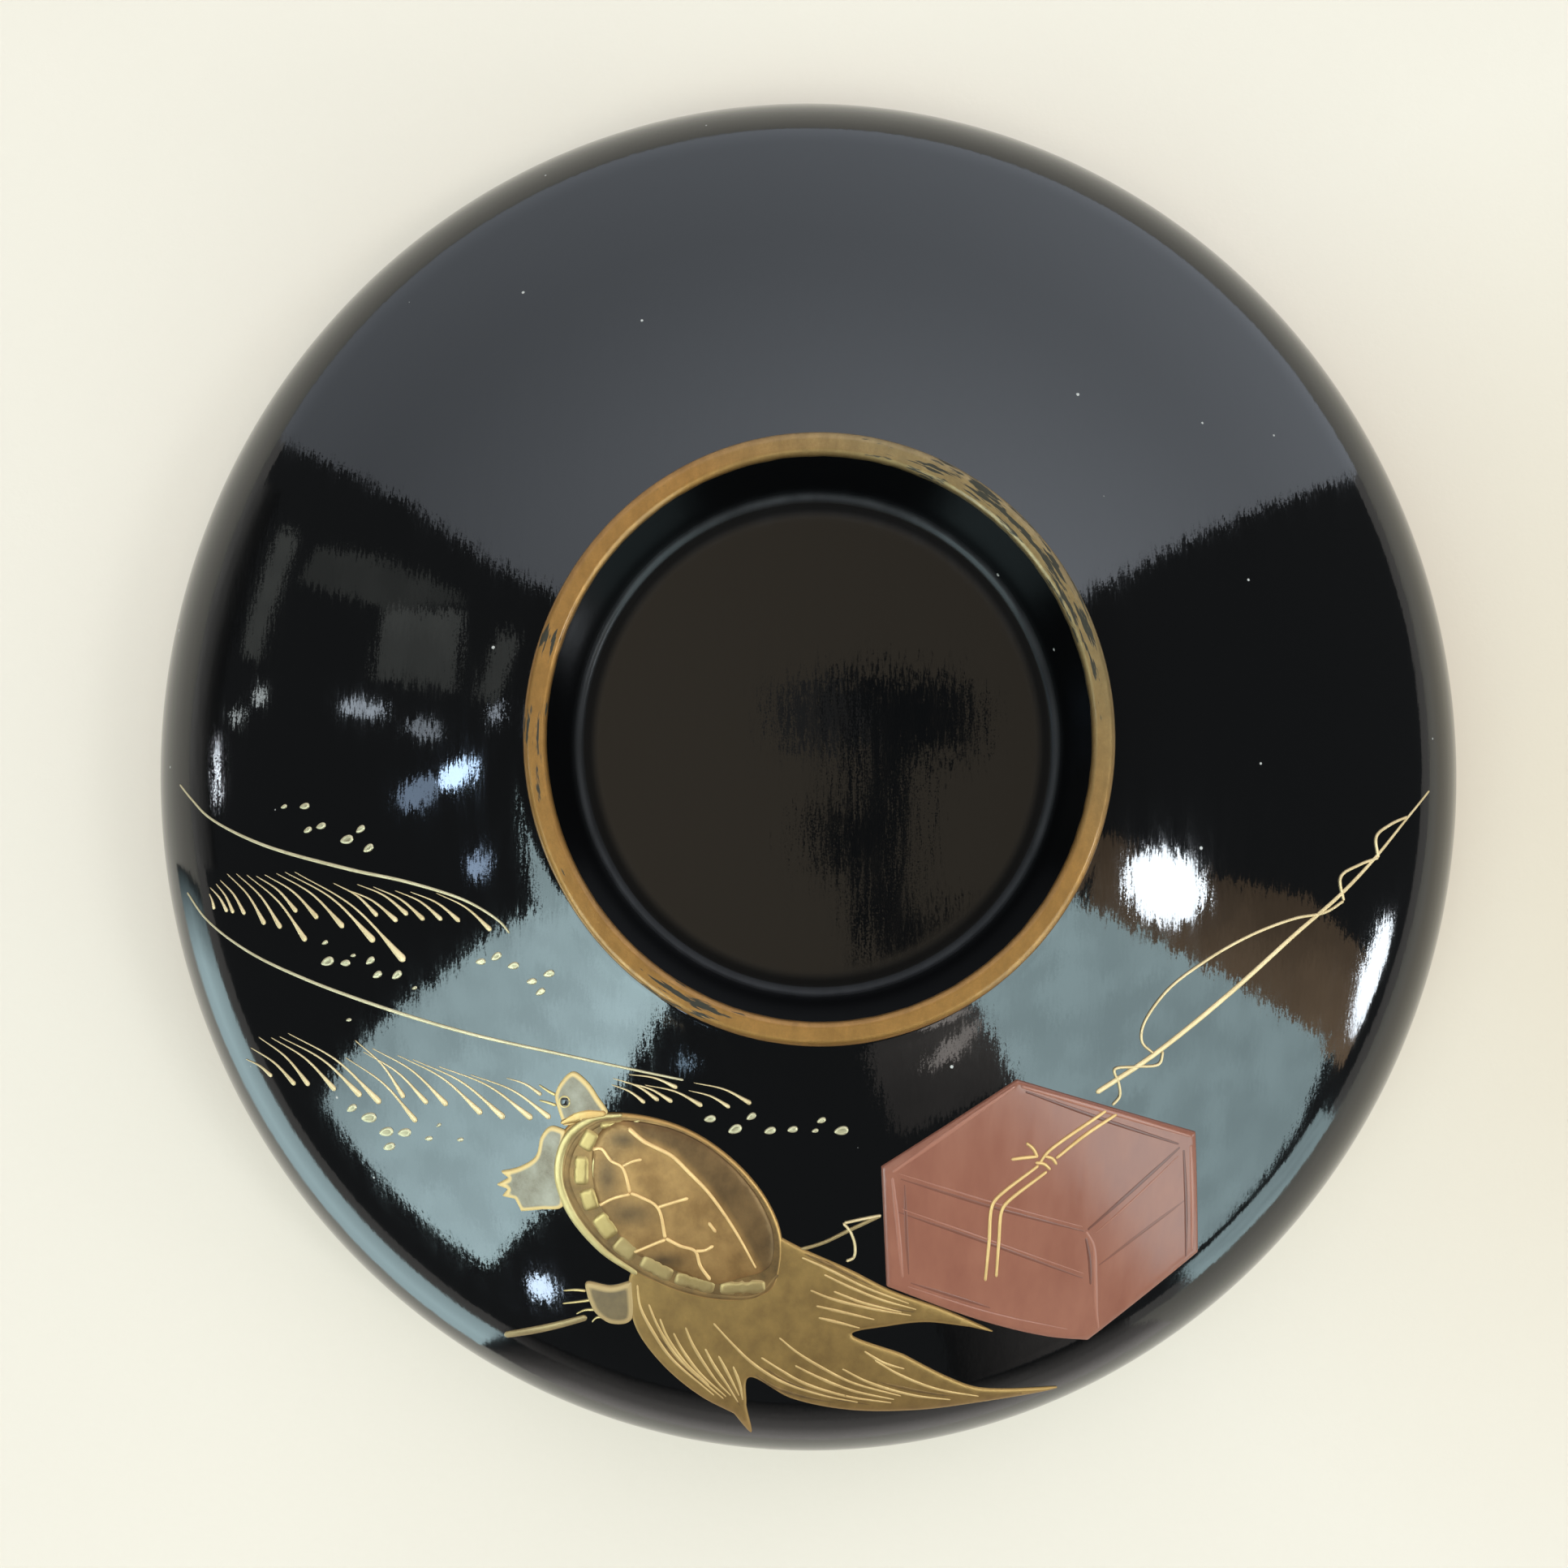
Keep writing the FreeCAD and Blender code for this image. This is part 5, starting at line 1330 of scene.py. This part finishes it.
def make_light():
    """The windows, lamps and dim walls that the lacquer reflects, and a soft light from above."""
    far_wall()
    soft_box("left_window", [(20, 200), (27.6, 201.3), (44, 205.5), (60, 208.4), (65, 211.1), (64, 222),
                             (63, 234.7), (51, 237), (22, 236.8)], WINDOW_LIGHT,
             [6.6, 6.6, 5.6, 5.0, 4.8, 6.6, 7.4, 8.6, 9.6])
    soft_box("right_window", [(20, 344), (28.7, 341.1), (50, 338.5), (67.5, 337), (69, 328), (69.5, 318),
                              (69, 309), (50, 309), (34, 309), (24, 314)], WINDOW_LIGHT,
             [5.6, 5.6, 4.6, 4.2, 4.2, 4.2, 4.4, 5.0, 5.4, 5.4])
    soft_box("low_right_window", [(73, 331), (91.5, 331), (91.5, 311), (73.5, 311)], WINDOW_LIGHT,
             [3.0, 3.0, 3.6, 3.6])
    soft_box("brown_wall", [(28, 355), (45, 350), (58, 350), (72, 345), (72, 335.5), (60, 336.5), (45, 338.2),
                            (29, 340.5)], (1.0, 0.70, 0.44), [0.7, 0.7, 0.8, 1.2, 2.0, 1.8, 1.6, 1.4])
    soft_box("dim_post", [(68, 153), (64.7, 153.2), (64, 165.7), (67.2, 165.6)], DIM_LIGHT, [0.6] * 4)
    soft_box("dim_beam", [(61.6, 157), (61, 153), (50, 150.8), (38.8, 150), (48.3, 156.4)],
             DIM_LIGHT, [0.4] * 5)
    soft_box("dim_panel", [(49.2, 156.5), (38.8, 151.8), (36.5, 163), (47.9, 164.4)],
             DIM_LIGHT, [0.75, 0.75, 0.5, 0.5])
    soft_box("dim_strip", [(33.4, 151.2), (30.6, 150.2), (30.6, 162.5), (33.6, 162.4)], DIM_LIGHT, [0.6] * 4)
    lamp("lamp_right", 38.2, 347.4, 11, 6.4, -8, LAMP_LIGHT, 26)
    lamp("lamp_low_right", 70.5, 344.2, 4, 11, 0, LAMP_LIGHT, 22)
    lamp("lamp_left", 34.4, 175.7, 5.4, 2.0, 20, (0.7, 0.95, 1.3), 24)
    lamp("lamp_left_glow", 39.6, 178.8, 5.5, 2.2, 20, (0.7, 0.95, 1.3), 4)
    lamp("lamp_left_small", 32.3, 190.7, 3.4, 2, 20, (0.7, 0.95, 1.3), 7)
    lamp("lamp_left_far", 48.3, 168.5, 6.6, 1.4, 4, (0.85, 0.97, 1.1), 7)
    lamp("lamp_left_dim", 39.4, 169.8, 4.5, 1.2, 0, (0.85, 0.97, 1.1), 4)
    lamp("lamp_left_low", 63.2, 169.2, 1.4, 1.4, 0, (0.9, 1, 1), 8)
    lamp("lamp_left_lower", 66.2, 171.5, 1.2, 1.3, 0, (0.9, 1, 1), 7)
    lamp("lamp_left_lowest", 88, 170.3, 1.6, 0.9, 0, (0.9, 1, 1), 3)
    lamp("lamp_left_high", 30.2, 164.5, 1.5, 1.3, 20, (0.85, 0.97, 1.1), 7)
    lamp("lamp_front", 61.3, 241, 2.8, 2.8, 20, (0.8, 1.0, 1.25), 19)
    lamp("lamp_by_ring", 26.5, 246, 1.6, 1.2, 0, (0.7, 1.0, 1.3), 5)
    lamp("lamp_edge_left", 69.1, 177.0, 0.45, 6.4, 0, LAMP_LIGHT, 34)
    lamp("lamp_by_box", 27.0, 304, 1.8, 6.6, 12, BROWN_LIGHT, 3.5)
    fill_light()
    ceiling()
    floor_sheet("sunny_floor", (0.078, 0.1, 0.3, 0.8), (188, 240), WINDOW_LIGHT, (2.0, 3.4, 3.6, 3.0))
    floor_sheet("dark_edge", (0.08, 0.12, 0.5, 2.1), (240, 304), TABLE_LIGHT, (1.1, 0.6, 0.4, 0.3))
    soft_box("dark_front", [(78, 240), (78, 304), (91.2, 304), (91.2, 240)], TABLE_LIGHT,
             [0.02, 0.02, 0.45, 0.45])
    soft_box("pale_left", [(70, 150), (70, 186), (91.2, 186), (91.2, 150)], (1.0, 0.99, 0.95),
             [0.02, 0.02, 0.8, 0.8])
    soft_box("dim_by_box", [(23, 286), (24, 312), (36, 313), (34, 288)], BROWN_LIGHT, [0.5, 0.9, 0.45, 0.3])
    soft_box("dim_front", [(58, 286), (60, 302), (76, 302), (76, 286)], BROWN_LIGHT, [0.02, 0.5, 0.6, 0.02])
    soft_box("window_by_ring", [(24.2, 177), (25.3, 176.6), (26, 190), (28, 207), (20, 207), (20, 190)],
             WINDOW_LIGHT, [5, 5, 5.5, 6, 6, 5.5])
    world = bpy.data.worlds.new("room")
    world.use_nodes = True
    world.node_tree.nodes["Background"].inputs["Color"].default_value = (*ROOM_LIGHT, 1)
    bpy.context.scene.world = world


def disc(radius, height):
    """Points round a level disc above the middle of the floor."""
    turns = [math.tau * step / DISC_STEPS for step in range(DISC_STEPS)]
    return [Vector((radius * math.cos(turn), radius * math.sin(turn), height)) for turn in turns]


def make_floor():
    """A pale tabletop, a low pale wall at its edge, and a backdrop that only the camera sees."""
    around = disc(FLOOR_RADIUS, 0)
    floor = stage_mesh("floor", around, [tuple(range(len(around)))], pale_floor(), seen=True)
    floor.visible_shadow = True
    count = len(around)
    walls = [(i, (i + 1) % count, (i + 1) % count + count, i + count) for i in range(count)]
    stage_mesh("low_wall", around + disc(FLOOR_RADIUS, LOW_WALL_HEIGHT), walls,
               glowing("low_wall", (1.0, 0.97, 0.92), 0.6))
    backdrop = stage_mesh("backdrop", around + disc(FLOOR_RADIUS, BACKDROP_HEIGHT), walls,
                          glowing("backdrop", (0.82, 0.80, 0.74), 1.0), seen=True)
    backdrop.visible_glossy = False
    backdrop.visible_diffuse = False


CAMERA_PLACE = Vector((-4.38, -12.45, 160.65)) * MM
CAMERA_AIM = Vector((0.0134, 0.0691, -1))
LENS = 39.86
SENSOR = 36.0


def make_camera():
    """A phone's wide lens, held close over the lid and looking almost straight down."""
    data = bpy.data.cameras.new("camera")
    data.lens, data.sensor_width, data.sensor_fit = LENS, SENSOR, "HORIZONTAL"
    data.clip_start, data.clip_end = 0.01, 20
    camera = bpy.data.objects.new("camera", data)
    right = CAMERA_AIM.cross(Vector((0, 1, 0))).normalized()
    back = -CAMERA_AIM.normalized()
    turned = Matrix((right, back.cross(right), back)).transposed()
    camera.matrix_world = Matrix.Translation(CAMERA_PLACE) @ turned.to_4x4()
    bpy.context.scene.collection.objects.link(camera)
    bpy.context.scene.camera = camera


# ---------------------------------------------------------------- the whole scene


def main():
    """The camera, the stage and then the lid's pieces from the inside out."""
    bpy.context.scene.view_settings.view_transform = "Standard"
    make_camera()
    make_floor()
    make_light()
    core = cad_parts["wooden_core"]
    core.data.materials.clear()
    core.data.materials.append(bare_wood())
    make_coats()
    make_ring_gold()
    make_turtle()
    fine_gold = gold_powder("fine_gold", (0.58, 0.44, 0.25), (0.45, 0.33, 0.17), shine=0.42, metal=0.6)
    make_box()
    make_rod_and_water(fine_gold)


main()
